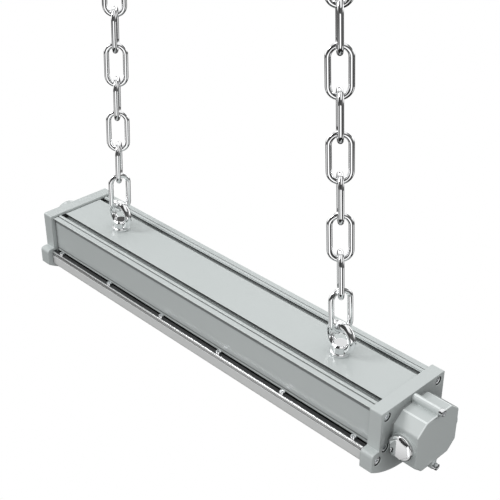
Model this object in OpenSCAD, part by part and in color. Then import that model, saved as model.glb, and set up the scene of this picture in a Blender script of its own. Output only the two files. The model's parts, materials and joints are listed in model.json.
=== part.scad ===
// Sealed linear work light that hangs on two chains from lifting eye nuts.
// Millimetres. +X runs along the lamp to its terminal box, +Z is up. The origin lies midway between the
// seats of the two top chain links, where a pair of ceiling hooks would carry them.
// Heights inside the lamp are counted from the top edge of its end plates, which is 0.

/* [Housing] */
// Length of the lamp between its end plates
body_l = 610; // [470:1:1500]
// Width across the top lips
housing_w = 108; // [104:1:140]
// Height of the extrusion, from the underside of its feet to its top face
housing_h = 59; // [52:1:90]
// Wall of the extrusion
wall = 3; // [2.4:0.1:3.6]
// Thickness of each lip that overhangs a side wall
lip_t = 1.8; // [1:0.1:2.4]
// Overhang of each lip past its side wall
lip_over = 3; // [1:0.5:5]
// Thickness of the feet along the lower edges
foot_t = 2.5; // [2:0.1:4]
// Reach of the feet towards the middle, from the side wall's outer face
foot_in = 11; // [9:0.5:14]
// Radius of the screw ports in the corners
port_r = 4.5; // [4:0.1:5]
// Drop of the upper ports below the top face
port_drop = 6.2; // [5:0.1:9]

/* [Mounting channels] */
// Distance of each channel's middle from the lip's edge
slot_inset = 18.7; // [17:0.1:24]
// Width of a channel's mouth
slot_mouth = 7.2; // [6:0.1:9]
// Depth of a channel's lips
slot_lip = 2.5; // [2:0.1:4]
// Width of a channel inside
slot_w = 12; // [10:0.5:14]
// Depth of a channel below its lips
slot_h = 5; // [4:0.5:7]
// Width of the raised rail beside each channel
rail_w = 7; // [4:0.5:8]
// Height of the raised rails
rail_rise = 0.8; // [0.3:0.1:2]
// Width of the fine groove outside each rail
groove_w = 1.2; // [0.6:0.1:2]
// Depth of the fine groove
groove_d = 0.8; // [0.4:0.1:1]

/* [End plates] */
// Thickness of an end plate
plate_t = 18; // [15:0.5:25]
// Height of an end plate
plate_h = 100; // [98:1:125]
// Margin of a plate around the housing's top and sides
plate_rise = 3.5; // [2:0.5:6]
// Depth of the ears' upper edge below the plate's top
ear_drop = 53.5; // [48:0.5:56]
// Reach of the ears past the lens rim
ear_over = 7.7; // [4:0.1:12]
// Radius of the ears' upper corners
ear_r = 5; // [2:0.5:6]
// Radius of the plate's curved lower edge
plate_arc_r = 120; // [110:1:160]
// Thickness of the gasket behind each plate
end_gasket_t = 1.5; // [1:0.1:2.5]

/* [Lens] */
// Reach of the lens rim past the side wall
ledge_w = 10.5; // [9:0.5:13]
// Depth of the lens below its gasket
lens_h = 33.5; // [28:0.5:35]
// Radius of the curved lens face
lens_arc_r = 112; // [100:1:140]
// Wall of the lens
lens_t = 3; // [2:0.1:4]
// Width of the thick rim that takes the screws
rim_w = 9.5; // [8:0.5:11]
// Height of the thick rim
rim_h = 8.5; // [8:0.5:11]
// Outer radius of the lens corners
lens_r = 5; // [4:0.5:7]
// Thickness of the gasket between foot and lens
lens_gasket_t = 1; // [0.6:0.1:2]

/* [Edge strips] */
// Thickness of the black clamp bar
bar_t = 2; // [1.5:0.1:3]
// Play between the side wall and the clamp bar
bar_play = 0.8; // [0.5:0.1:1.5]
// Thickness of the polished trim's tongue
tongue_t = 1; // [0.6:0.1:1.5]
// Thickness of the polished trim's nose
nose_t = 1.5; // [1:0.1:2.5]
// Number of clamp screws on each side
clamp_count = 6; // [2:1:8]
// Distance of the outermost clamp screws from the lamp's ends
clamp_inset = 20; // [10:1:60]

/* [Terminal box] */
// Length of the box along the lamp
box_l = 37; // [36:0.5:60]
// Width of the box
box_w = 76; // [66:1:90]
// Width of the flat top face
box_top_w = 44.8; // [36:0.1:60]
// Width of the flat bottom face
box_bottom_w = 49; // [36:0.5:60]
// Depth of the box's top face below the plate's top
box_top = 10.3; // [9:0.1:14]
// Depth of the box's bottom face below the plate's top
box_bottom = 80; // [72:0.5:82]
// Drop of the upper sloping edges
box_slope_top = 12.7; // [8:0.1:16]
// Rise of the lower sloping edges
box_slope_bottom = 12; // [8:0.5:14]
// Wall of the box
box_t = 3; // [2.5:0.1:4]
// Radius of the screw ribs
rib_r = 5; // [4.5:0.1:6]
// Height of the rib's middle above the top face
rib_rise = 3.8; // [3:0.1:4.5]
// Drop of the rib's middle below the bottom face
rib_drop = 6; // [4:0.5:8]
// Thickness of the box gasket
box_gasket_t = 1.5; // [1:0.1:2.5]
// Depth of the cable entries' middle below the plate's top
entry_drop = 44.5; // [42:0.5:48]
// Radius of a cable entry's wall, an M25 thread
entry_r = 11.75; // [9:0.05:12.5]
// Radius of the raised seat round a cable entry
seat_r = 18; // [17:0.5:18]
// Height of the raised seat
seat_h = 3; // [1.5:0.5:5]
// Depth of the thread behind the box wall
entry_depth = 4; // [2:0.5:6]

/* [Blanking plug] */
// Radius of the plug's flange
plug_flange_r = 16.2; // [14:0.1:17]
// Thickness of the plug's flange
plug_flange_t = 2.5; // [2:0.1:5]
// Width of the plug's hexagon across its flats
plug_hex = 24; // [20:0.5:27]
// Height of the plug's hexagon
plug_hex_h = 2.5; // [2:0.5:10]
// Turn of the plug's hexagon, as it was tightened
plug_turn = 18; // [0:1:30]

/* [Left end cap] */
// Radius of the round cap
cap_r = 23; // [19:0.5:26]
// Length of the round cap
cap_l = 27.5; // [12:0.5:35]
// Depth of the cap's middle below the plate's top
cap_drop = 35; // [32:0.5:44]
// Radius of the cap's threaded neck
neck_r = 16; // [12:0.5:17]
// Thickness of the cap's sealing ring
cap_ring_t = 1.5; // [1:0.1:2.5]

/* [Lifting eyes] */
// Distance of each eye from the middle of the lamp
eye_x = 211; // [150:1:225]
// Outer diameter of the eye
eye_d = 45; // [40:0.5:50]
// Thickness of the eye's ring
eye_wire = 10; // [8:0.1:11]
// Diameter of the collar under the eye
collar_d = 25; // [20:0.5:30]
// Height of the collar
collar_h = 3.5; // [2:0.1:5]
// Diameter of the hub that fills the ring's lower part
hub_d = 21; // [18:0.5:22]
// Height of the hub's top above the lamp
hub_h = 15; // [13:0.5:17]
// Diameter of the stud that holds the eye
stud_d = 9.8; // [7.8:0.1:11.8]

/* [Chains] */
// Diameter of the chain wire
wire = 7; // [5:0.1:7.5]
// Inside length of a link
link_in_l = 49.3; // [40:0.1:60]
// Inside width of a link
link_in_w = 18; // [16:0.1:24]
// Play between one link and the next
link_play = 0.6; // [0.5:0.1:1]
// Play between the first link and the eye
eye_play = 0.3; // [0.2:0.1:1]
// Lean of each chain from upright towards the lamp's middle
chain_lean = 3.7; // [0:0.1:5]
// Turn of the first link from the lamp's cross direction
first_turn = 22; // [0:1:30]
// Turn of the odd links from the lamp's cross direction
odd_turn = 44.4; // [40:0.1:50]

/* [Inside] */
// Thickness of the light-source tray
tray_t = 1.5; // [1:0.1:2.5]
// Length of one circuit board
board_l = 270; // [150:1:300]
// Width of a circuit board
board_w = 60; // [40:1:70]
// Thickness of a circuit board
board_t = 1.6; // [1:0.1:2]
// Side of a light-emitting chip
chip = 5; // [3:0.5:7]
// Height of a chip
chip_h = 0.8; // [0.5:0.1:2]
// Distance between chips along a board
chip_pitch = 20; // [12:1:30]
// Distance between the two chip rows
chip_row_gap = 30; // [20:1:35]
// Length of the driver's case
driver_l = 170; // [120:1:180]
// Width of the driver's case
driver_w = 46; // [36:1:50]
// Height of the driver's case
driver_h = 28; // [20:1:30]
// Length of each fixing ear on the driver
driver_ear = 12; // [10:1:16]
// Diameter of the mains lead
lead_d = 7; // [5:0.5:8]
// Diameter of the lead from driver to boards
led_lead_d = 4; // [3:0.5:5]

/* [Hidden] */
$fn = 96;
LINKS = 9;
SIDES = ["left", "right"];

thread_gap = 0.1;          // play round a screw in its thread
hole_gap = 0.4;            // play round a screw in a through hole
cut = 1;                   // how far a cutter reaches past what it cuts
gasket_inset = 0.5;        // how far a gasket's edge lies behind what it seals
gasket_land = 6;           // width of gasket kept inside the housing's wall
m6 = 6;
m5 = 5;
m4 = 4;
m3 = 3;

top_z = -plate_rise;
foot_z = top_z - housing_h;
side_y = housing_w / 2 - lip_over;
lip_y = housing_w / 2;
rim_y = side_y + ledge_w;
foot_y = rim_y - nose_t;
gasket_z = foot_z - lens_gasket_t;
bar_z = foot_z + foot_t + tongue_t;
bar_top = bar_z + bar_t;
bar_y = side_y + bar_play;
extrusion_l = body_l - 2 * end_gasket_t;
half_body = body_l / 2;
plate_face = half_body + plate_t;

slot_y = lip_y - slot_inset;
slot_floor = top_z - slot_lip - slot_h;
rail_y = slot_y + slot_mouth / 2;
groove_y = rail_y + rail_w + groove_w / 2;
channel_t = 2.5;

head_d = 10;               // heads of the end screws
head_h = 6;
head_sunk = 1.5;
counterbore_d = head_d + 1.5;
seat_depth = head_h + head_sunk;
upper_screw = [side_y - port_r, top_z - port_drop];
lower_port_r = 5;
lower_screw = [side_y - lower_port_r, foot_z + foot_t + lower_port_r];
ear_screw = [rim_y - 3, gasket_z - 3.5];
thread_bite = 20;
rim_bite = 12;

clamp_y = rim_y - 4;
clamp_pitch = (body_l - 2 * clamp_inset) / (clamp_count - 1);
clamp_head_d = 7;
clamp_head_h = 3.8;
clamp_bite = 6.5;

box_x = plate_face + box_gasket_t;
box_end = plate_face + box_l;
box_mid = (box_x + box_end) / 2 - box_gasket_t / 2;
box_outline = [
    [box_top_w / 2, -box_top], [-box_top_w / 2, -box_top],
    [-box_w / 2, -box_top - box_slope_top], [-box_w / 2, -box_bottom + box_slope_bottom],
    [-box_bottom_w / 2, -box_bottom], [box_bottom_w / 2, -box_bottom],
    [box_w / 2, -box_bottom + box_slope_bottom], [box_w / 2, -box_top - box_slope_top]
];
rib_top_z = -box_top + rib_rise;
rib_bottom_z = -box_bottom - rib_drop;
rib_neck = rib_r * 0.9;
cover_head_d = 8.5;
cover_head_h = 5;
cover_bite = 12;
washer_t = 1.5;

eye_r = (eye_d - eye_wire) / 2;
eye_z = top_z + eye_d / 2;
link_r = (link_in_w + wire) / 2;
link_leg = (link_in_l - link_in_w) / 2;
link_half = link_leg + link_r;
link_pitch = link_in_l - link_play;
first_low = eye_z + eye_r - eye_wire / 2 - wire / 2 - eye_play;
chain_l = first_low - eye_z + link_pitch * (LINKS - 1) + 2 * link_half - wire / 2;
lamp_z = -eye_z - chain_l * cos(chain_lean);
even_turn = odd_turn - 90;

tray_z = foot_z - tray_t;
tray_hw = side_y - 1;
tray_screw_y = side_y - foot_in + 3.5;
tray_l = extrusion_l - 10;
tray_screw_x = [-0.45, -0.15, 0.15, 0.45] * tray_l;
board_z = tray_z - board_t;
board_gap = 4;
board_screw_x = board_l / 2 - 8;
driver_end = eye_x + 14;
driver_start = driver_end - driver_l;
ear_plate_t = 1.5;
bushing_z = -40;
bushing_r = 8;
bushing_flange_r = 11;
bushing_flange_t = 2;
block_size = [18, 40, 13];
block_top = bushing_z - 22;
block_x = plate_face + 3;
lead_bend = 8;
stud_plate = [44, 40, 4];
stud_nut_h = 8;
stud_nut_af = 17;
stud_bite = 8.5;

grey = "#A9AEAF";
light_grey = "#C6C8C7";
steel = "#C9CCCE";
black = "#1E1F20";

// Places its children at the lamp's height under the chains.
module in_lamp() { translate([0, 0, lamp_z]) children(); }

// A block between two corners.
module block(low, high) { translate(low) cube(high - low); }

// A flat rectangle between two corners, in the lamp's cross plane.
module strip(low, high) { translate(low) square(high - low); }

// A flat rectangle with round corners.
module round_strip(low, high, r) {
    strip([low.x + r, low.y], [high.x - r, high.y]);
    strip([low.x, low.y + r], [high.x, high.y - r]);
    for (y = [low.x + r, high.x - r], z = [low.y + r, high.y - r]) translate([y, z]) circle(r);
}

// The same on both sides of the lamp's middle plane.
module both_sides() {
    children();
    mirror([1, 0]) children();
}

// Extrudes a cross plane outline along the lamp, centred or from x0 to x1.
module along(length) { rotate([90, 0, 90]) linear_extrude(length, center = true) children(); }
module span(x0, x1) { translate([x0, 0, 0]) rotate([90, 0, 90]) linear_extrude(x1 - x0) children(); }

// Round rods along X, Y and Z.
module rod_x(r, x0, x1, yz) { translate([x0, yz.x, yz.y]) rotate([0, 90, 0]) cylinder(r = r, h = x1 - x0); }
module rod_y(r, y0, y1, x, z) { translate([x, y0, z]) rotate([-90, 0, 0]) cylinder(r = r, h = y1 - y0); }
module rod_z(r, z0, z1, x, y) { translate([x, y, z0]) cylinder(r = r, h = z1 - z0); }

// A corner of a closed outline moved inwards by d, so that both its edges move by d.
function edge_dir(a, b) = (b - a) / norm(b - a);
function inner_corner(a, b, c, d) =
    let (u = edge_dir(a, b), v = edge_dir(b, c), n = [-u.y, u.x], m = [-v.y, v.x])
    b + d * (n + m) / (1 + n * m);
function inner_outline(p, d) =
    [for (i = [0 : len(p) - 1]) inner_corner(p[(i + len(p) - 1) % len(p)], p[i], p[(i + 1) % len(p)], d)];

// A socket screw that points down, its head standing on z = 0.
module socket_screw(shank_d, shank_l, head_d, head_h, key) {
    difference() {
        union() {
            cylinder(d = head_d, h = head_h);
            translate([0, 0, -shank_l]) cylinder(d = shank_d, h = shank_l + head_h / 4);
        }
        translate([0, 0, head_h * 0.45]) cylinder(d = key / cos(30), h = head_h, $fn = 6);
    }
}

// A cross-slotted pan screw that points down, its head standing on z = 0.
module pan_screw(shank_d, shank_l) {
    head_r = shank_d * 0.9;
    head_t = shank_d * 0.6;
    difference() {
        union() {
            cylinder(r = head_r, h = head_t);
            translate([0, 0, -shank_l]) cylinder(d = shank_d, h = shank_l + head_t / 2);
        }
        for (a = [0, 90])
            rotate(a) translate([-head_r * 0.6, -shank_d * 0.1, head_t * 0.5]) cube([head_r * 1.2, shank_d * 0.2, head_t]);
    }
}

// The outline of the plain shape round the housing, drawn in by d.
module housing_outline(d) {
    strip([-side_y + d, foot_z + foot_t], [side_y - d, top_z - d]);
    strip([-foot_y + d, foot_z], [foot_y - d, foot_z + foot_t]);
}

module housing_half() {
    inner_y = side_y - wall;
    strip([0, top_z - wall], [side_y, top_z]);
    strip([side_y - wall, top_z - lip_t], [lip_y, top_z]);
    strip([inner_y, foot_z], [side_y, top_z]);
    strip([side_y - foot_in, foot_z], [foot_y, foot_z + foot_t]);
    translate(upper_screw) circle(port_r);
    strip([upper_screw.x, upper_screw.y - port_r], [side_y, top_z]);
    translate(lower_screw) circle(lower_port_r);
    strip([lower_screw.x - lower_port_r, foot_z], [side_y, lower_screw.y]);
    strip([slot_y - slot_w / 2 - channel_t, slot_floor - channel_t], [slot_y + slot_w / 2 + channel_t, top_z]);
    strip([rail_y, top_z], [rail_y + rail_w, top_z + rail_rise]);
    strip([side_y, bar_top + 0.6], [side_y + 0.5, bar_top + 1.4]);
}

module housing_cuts() {
    strip([slot_y - slot_mouth / 2, slot_floor + slot_h / 2], [slot_y + slot_mouth / 2, top_z + rail_rise + cut]);
    strip([slot_y - slot_w / 2, slot_floor], [slot_y + slot_w / 2, slot_floor + slot_h]);
    strip([groove_y - groove_w / 2, top_z - groove_d], [groove_y + groove_w / 2, top_z + cut]);
    translate(upper_screw) circle(d = m6 + 2 * thread_gap);
    translate(lower_screw) circle(d = m6 + 2 * thread_gap);
}

module housing() {
    color(grey) in_lamp() difference() {
        along(extrusion_l) difference() {
            both_sides() housing_half();
            both_sides() housing_cuts();
        }
        for (x = [-eye_x, eye_x]) rod_z(stud_d / 2 + hole_gap, top_z - wall - cut, top_z + cut, x, 0);
        for (x = tray_screw_x, y = [-tray_screw_y, tray_screw_y])
            rod_z(m3 / 2 + thread_gap, foot_z - cut, foot_z + foot_t + 1, x, y);
        clamp_holes(m4 / 2 + hole_gap / 2);
    }
}

// Holes for the clamp screws through everything under the clamp bars.
module clamp_holes(r) {
    for (x = clamp_places(), y = [-clamp_y, clamp_y]) rod_z(r, gasket_z - clamp_bite - 1, bar_top + cut, x, y);
}
function clamp_places() = [for (k = [0 : clamp_count - 1]) (k - (clamp_count - 1) / 2) * clamp_pitch];

module plate_outline() {
    intersection() {
        union() {
            round_strip([-lip_y - plate_rise, -plate_h], [lip_y + plate_rise, 0], 2);
            round_strip([-rim_y - ear_over, -plate_h - ear_r], [rim_y + ear_over, -ear_drop], ear_r);
        }
        translate([0, plate_arc_r - plate_h]) circle(plate_arc_r, $fn = 180);
    }
}

// Places of the three screws on each side of a plate.
plate_screw_places = [for (p = [upper_screw, lower_screw, ear_screw], s = [-1, 1]) [s * p.x, p.y]];

// A plate at the +X end, before the openings that differ from end to end.
module plate_blank() {
    difference() {
        span(half_body, plate_face) plate_outline();
        for (p = plate_screw_places) {
            rod_x(m6 / 2 + hole_gap / 2, half_body - cut, plate_face + cut, p);
            rod_x(counterbore_d / 2, plate_face - seat_depth, plate_face + cut, p);
        }
    }
}

module end_plate_right() {
    color(grey) in_lamp() difference() {
        plate_blank();
        rod_x(bushing_r, half_body - cut, plate_face + cut, [0, bushing_z]);
        for (z = [rib_top_z, rib_bottom_z])
            rod_x(m5 / 2 + thread_gap, plate_face - cover_bite - 1, plate_face + cut, [0, z]);
        for (y = block_screw_y) rod_x(m4 / 2 + thread_gap, plate_face - 9, plate_face + cut, [y, block_screw_z]);
    }
}

module end_plate_left() {
    color(grey) in_lamp() mirror([1, 0, 0]) difference() {
        plate_blank();
        rod_x(neck_r + thread_gap, half_body - cut, plate_face + cut, [0, -cap_drop]);
    }
}

// The gasket sheet at the +X end, cut out in the middle and round the screws.
module end_gasket() {
    window_y = side_y - wall - gasket_land;
    difference() {
        span(half_body - end_gasket_t, half_body) union() {
            housing_outline(gasket_inset);
            lens_outline(gasket_inset);
            strip([-foot_y + 1, gasket_z - rim_h], [foot_y - 1, foot_z + foot_t / 2]);
        }
        span(half_body - end_gasket_t - cut, half_body + cut)
            strip([-window_y, lower_screw.y - 2 * gasket_land], [window_y, slot_floor - channel_t - gasket_land]);
        for (p = plate_screw_places) rod_x(m6 / 2 + hole_gap / 2, half_body - end_gasket_t - cut, half_body + cut, p);
    }
}
module end_gasket_right() { color(black) in_lamp() end_gasket(); }
module end_gasket_left() { color(black) in_lamp() mirror([1, 0, 0]) end_gasket(); }

// The six screws of the plate at the +X end. Those in the ears neck down to the lens rim's thread.
module plate_screw_set() {
    seat_x = plate_face - seat_depth;
    for (p = plate_screw_places) {
        in_rim = abs(p.x) == ear_screw.x;
        bite = in_rim ? rim_bite : thread_bite;
        translate([seat_x, p.x, p.y]) rotate([0, 90, 0])
            socket_screw(in_rim ? m4 : m6, plate_t - seat_depth + end_gasket_t + bite, head_d, head_h, 5);
    }
}
module plate_screws_right() { color(steel) in_lamp() plate_screw_set(); }
module plate_screws_left() { color(steel) in_lamp() mirror([1, 0, 0]) plate_screw_set(); }

// The lens's outer outline, drawn in by d: straight sides, round corners and a shallow curved face.
lens_z = gasket_z - lens_h;
lens_mid_z = lens_z + lens_arc_r;
corner_y = rim_y - lens_r;
corner_z = lens_mid_z - sqrt(pow(lens_arc_r - lens_r, 2) - pow(corner_y, 2));
module lens_outline(d) {
    r = lens_r - d;
    far = lens_arc_r - d;
    tangent_y = corner_y * far / (lens_arc_r - lens_r);
    strip([-rim_y + d, corner_z], [rim_y - d, gasket_z]);
    for (y = [-corner_y, corner_y]) translate([y, corner_z]) circle(r);
    intersection() {
        translate([0, lens_mid_z]) circle(far, $fn = 180);
        strip([-tangent_y, lens_z - cut], [tangent_y, gasket_z]);
    }
}

module lens() {
    color(light_grey) in_lamp() difference() {
        along(extrusion_l) difference() {
            lens_outline(0);
            difference() {
                lens_outline(lens_t);
                both_sides() strip([rim_y - rim_w, gasket_z - rim_h], [rim_y + cut, gasket_z + cut]);
            }
            strip([-rim_y + rim_w, gasket_z - rim_h], [rim_y - rim_w, gasket_z + cut]);
        }
        clamp_holes(m4 / 2 + thread_gap);
        for (p = [[-ear_screw.x, ear_screw.y], ear_screw], s = [-1, 1])
            rod_x(m4 / 2 + thread_gap, min(s * (extrusion_l / 2 + cut), s * (extrusion_l / 2 - rim_bite - 1)),
                  max(s * (extrusion_l / 2 + cut), s * (extrusion_l / 2 - rim_bite - 1)), p);
    }
}

module lens_gasket() {
    color(black) in_lamp() difference() {
        along(extrusion_l) both_sides() strip([rim_y - rim_w, gasket_z], [rim_y - gasket_inset, foot_z]);
        clamp_holes(m4 / 2 + hole_gap / 2);
    }
}

// The strips on the +Y side: a black bar that clamps the lens, over the tongue of a polished trim.
strip_l = body_l - 2 * 0.3;
module clamp_bar() {
    difference() {
        along(strip_l) strip([bar_y, bar_z], [foot_y, bar_top]);
        clamp_holes(m4 / 2 + hole_gap / 2);
    }
}
module clamp_bar_back() { color(black) in_lamp() clamp_bar(); }
module clamp_bar_front() { color(black) in_lamp() mirror([0, 1, 0]) clamp_bar(); }

module edge_trim() {
    difference() {
        along(strip_l) union() {
            strip([bar_y + 1.7, bar_z - tongue_t], [foot_y + nose_t / 2, bar_z]);
            round_strip([foot_y, foot_z], [rim_y, bar_top], min(0.5, nose_t / 3));
        }
        clamp_holes(m4 / 2 + hole_gap / 2);
    }
}
module edge_trim_back() { color(steel) in_lamp() edge_trim(); }
module edge_trim_front() { color(steel) in_lamp() mirror([0, 1, 0]) edge_trim(); }

module clamp_screw_row() {
    for (x = clamp_places()) translate([x, clamp_y, bar_top])
        socket_screw(m4, bar_top - gasket_z + clamp_bite, clamp_head_d, clamp_head_h, 3);
}
module clamp_screws_back() { color(steel) in_lamp() clamp_screw_row(); }
module clamp_screws_front() { color(steel) in_lamp() mirror([0, 1, 0]) clamp_screw_row(); }

module light_tray() {
    color(steel) in_lamp() difference() {
        block([-tray_l / 2, -tray_hw, tray_z], [tray_l / 2, tray_hw, foot_z]);
        for (x = tray_screw_x, y = [-tray_screw_y, tray_screw_y])
            rod_z(m3 / 2 + hole_gap / 2, tray_z - cut, foot_z + cut, x, y);
        for (p = driver_screw_places()) rod_z(m3 / 2 + thread_gap, tray_z - cut, foot_z + cut, p.x, p.y);
        for (p = board_screw_places()) rod_z(m3 / 2 + thread_gap, tray_z - cut, foot_z + cut, p.x, p.y);
        rod_z(led_lead_d / 2 + 1, tray_z - cut, foot_z + cut, led_lead_x, 0);
    }
}

module tray_screws() {
    color(steel) in_lamp() for (x = tray_screw_x, y = [-tray_screw_y, tray_screw_y])
        translate([x, y, tray_z]) mirror([0, 0, 1]) pan_screw(m3, tray_t + foot_t + 0.5);
}

// Two boards lie end to end under the tray.
board_mid = [-(board_l + board_gap) / 2, (board_l + board_gap) / 2];
function board_screw_places() = [for (m = board_mid, x = [-board_screw_x, board_screw_x]) [m + x, 0]];
module led_boards() {
    color("#F2F2EE") in_lamp() difference() {
        for (m = board_mid)
            block([m - board_l / 2, -board_w / 2, board_z], [m + board_l / 2, board_w / 2, tray_z]);
        for (p = board_screw_places()) rod_z(m3 / 2 + hole_gap / 2, board_z - cut, tray_z + cut, p.x, p.y);
    }
}
module board_screws() {
    color(steel) in_lamp() for (p = board_screw_places())
        translate([p.x, p.y, board_z]) mirror([0, 0, 1]) pan_screw(m3, board_t + tray_t + 1);
}
module led_chips() {
    per_row = floor((board_l - 2 * chip) / chip_pitch);
    color("#F4E27A") in_lamp()
        for (m = board_mid, y = [-chip_row_gap / 2, chip_row_gap / 2], k = [0 : per_row - 1]) {
            x = m + (k - (per_row - 1) / 2) * chip_pitch;
            block([x - chip / 2, y - chip / 2, board_z - chip_h], [x + chip / 2, y + chip / 2, board_z]);
        }
}

// The driver stands on the tray beside the right eye, fixed through its two flat ears.
function driver_screw_places() =
    [for (x = [driver_start + driver_ear / 2, driver_end - driver_ear / 2], s = [-1, 1]) [x, s * driver_w / 3]];
module driver() {
    color("#D9DBDB") in_lamp() difference() {
        union() {
            block([driver_start + driver_ear, -driver_w / 2, foot_z],
                  [driver_end - driver_ear, driver_w / 2, foot_z + driver_h]);
            block([driver_start, -driver_w / 2, foot_z], [driver_end, driver_w / 2, foot_z + ear_plate_t]);
        }
        for (p = driver_screw_places()) rod_z(m3 / 2 + hole_gap / 2, foot_z - cut, foot_z + ear_plate_t + cut, p.x, p.y);
    }
}
module driver_screws() {
    color(steel) in_lamp() for (p = driver_screw_places())
        translate([p.x, p.y, foot_z + ear_plate_t]) pan_screw(m3, ear_plate_t + tray_t);
}

// The lead from the driver's left end bends down through the tray to the boards.
led_lead_bend = 8;
led_lead_x = driver_start + driver_ear - 8 - led_lead_bend - 14;
led_lead_z = foot_z + driver_h / 2;
module led_lead() {
    color(black) in_lamp() {
        rod_x(led_lead_d / 2, led_lead_x + led_lead_bend, driver_start + driver_ear, [0, led_lead_z]);
        translate([led_lead_x + led_lead_bend, 0, led_lead_z - led_lead_bend]) rotate([90, 0, 0]) rotate(90)
            rotate_extrude(angle = 90) translate([led_lead_bend, 0]) circle(d = led_lead_d);
        rod_z(led_lead_d / 2, tray_z, led_lead_z - led_lead_bend, led_lead_x, 0);
    }
}

// The mains lead runs from the terminal block, through the plate's bushing, to the driver.
module mains_lead() {
    bend_x = block_x + block_size.x / 2 - lead_bend;
    color("#8C9092") in_lamp() {
        rod_x(lead_d / 2, driver_end - driver_ear, bend_x, [0, bushing_z]);
        translate([bend_x, 0, bushing_z - lead_bend]) rotate([90, 0, 0])
            rotate_extrude(angle = 90) translate([lead_bend, 0]) circle(d = lead_d);
        rod_z(lead_d / 2, block_top, bushing_z - lead_bend, bend_x + lead_bend, 0);
    }
}

module cable_bushing() {
    color(black) in_lamp() difference() {
        union() {
            rod_x(bushing_r - thread_gap / 2, half_body + 1, plate_face, [0, bushing_z]);
            rod_x(bushing_flange_r, plate_face, plate_face + bushing_flange_t, [0, bushing_z]);
        }
        rod_x(lead_d / 2 + thread_gap / 2, half_body, plate_face + bushing_flange_t + cut, [0, bushing_z]);
    }
}

// The terminal box: a hollow cover with sloping corners, two screw ribs and a cable entry on each side.
module box_shell() {
    difference() {
        union() {
            span(box_x, box_end) polygon(box_outline);
            for (z = [rib_top_z, rib_bottom_z]) rod_x(rib_r, plate_face, box_end, [0, z]);
            span(plate_face, box_end) {
                strip([-rib_neck, -box_top - box_t / 2], [rib_neck, rib_top_z]);
                strip([-rib_neck, rib_bottom_z], [rib_neck, -box_bottom + box_t / 2]);
            }
            intersection() {
                rod_y(seat_r, -box_w / 2 - seat_h, box_w / 2 + seat_h, box_mid, -entry_drop);
                block([box_x, -box_w, -plate_h], [box_end, box_w, 0]);
            }
        }
        span(box_x - box_gasket_t - cut, box_end - box_t) intersection() {
            polygon(inner_outline(box_outline, box_t));
            strip([-box_w, -box_bottom], [box_w, -box_top]);
        }
    }
    for (s = [0, 1]) mirror([0, s, 0])
        rod_y(entry_r + 4, box_w / 2 - box_t - entry_depth, box_w / 2, box_mid, -entry_drop);
}
module terminal_cover() {
    color(grey) in_lamp() difference() {
        box_shell();
        rod_y(entry_r, -box_w / 2 - seat_h - cut, box_w / 2 + seat_h + cut, box_mid, -entry_drop);
        for (z = [rib_top_z, rib_bottom_z]) rod_x(m5 / 2 + hole_gap / 2, plate_face - cut, box_end + cut, [0, z]);
    }
}
module terminal_gasket() {
    color(black) in_lamp() span(plate_face, box_x) difference() {
        polygon(box_outline);
        polygon(inner_outline(box_outline, box_t + 1));
        strip([-rib_neck - 0.3, -box_top - box_t / 2 - 0.3], [rib_neck + 0.3, 0]);
        strip([-rib_neck - 0.3, -plate_h], [rib_neck + 0.3, -box_bottom + box_t / 2 + 0.3]);
    }
}
module cover_screws() {
    color(steel) in_lamp() for (z = [rib_top_z, rib_bottom_z])
        translate([box_end, 0, z]) rotate([0, 90, 0])
            socket_screw(m5, box_l + cover_bite, cover_head_d, cover_head_h, 4);
}

// The terminal block stands on the plate, with its wire clamps facing the cover.
block_screw_y = [-block_size.y / 2 + 4, block_size.y / 2 - 4];
block_screw_z = block_top - block_size.z / 2;
module terminal_block() {
    poles = 3;
    color("#E9EAE6") in_lamp() difference() {
        block([plate_face, -block_size.y / 2, block_top - block_size.z],
              [block_x + block_size.x, block_size.y / 2, block_top]);
        for (y = block_screw_y) {
            rod_x(m4 / 2 + hole_gap / 2, plate_face - cut, block_x + block_size.x + cut, [y, block_screw_z]);
            rod_x(m4, block_x + 4, block_x + block_size.x + cut, [y, block_screw_z]);
        }
        for (k = [0 : poles - 1])
            rod_x(2, block_x + 8, block_x + block_size.x + cut, [(k - 1) * 8, block_top - block_size.z * 0.6]);
    }
}
module terminal_screws() {
    color(steel) in_lamp() for (y = block_screw_y)
        translate([block_x + 4, y, block_screw_z]) rotate([0, 90, 0]) pan_screw(m4, block_x + 4 - plate_face + 8);
}

// The plug closes the front cable entry, on a flat washer.
module blanking_plug() {
    seat_y = box_w / 2 + seat_h + washer_t;
    color(steel) in_lamp() translate([box_mid, -seat_y, -entry_drop]) rotate([90, 0, 0]) {
        cylinder(r = plug_flange_r, h = plug_flange_t);
        rotate(-plug_turn) cylinder(d = plug_hex / cos(30), h = plug_flange_t + plug_hex_h, $fn = 6);
        translate([0, 0, -washer_t - seat_h - box_t - entry_depth])
            cylinder(r = entry_r - thread_gap / 2, h = washer_t + seat_h + box_t + entry_depth + plug_flange_t / 2);
    }
}
module plug_washer() {
    color(black) in_lamp() difference() {
        rod_y(plug_flange_r - 0.7, -box_w / 2 - seat_h - washer_t, -box_w / 2 - seat_h, box_mid, -entry_drop);
        rod_y(entry_r + thread_gap, -box_w / 2 - seat_h - washer_t - cut, -box_w / 2, box_mid, -entry_drop);
    }
}

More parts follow.
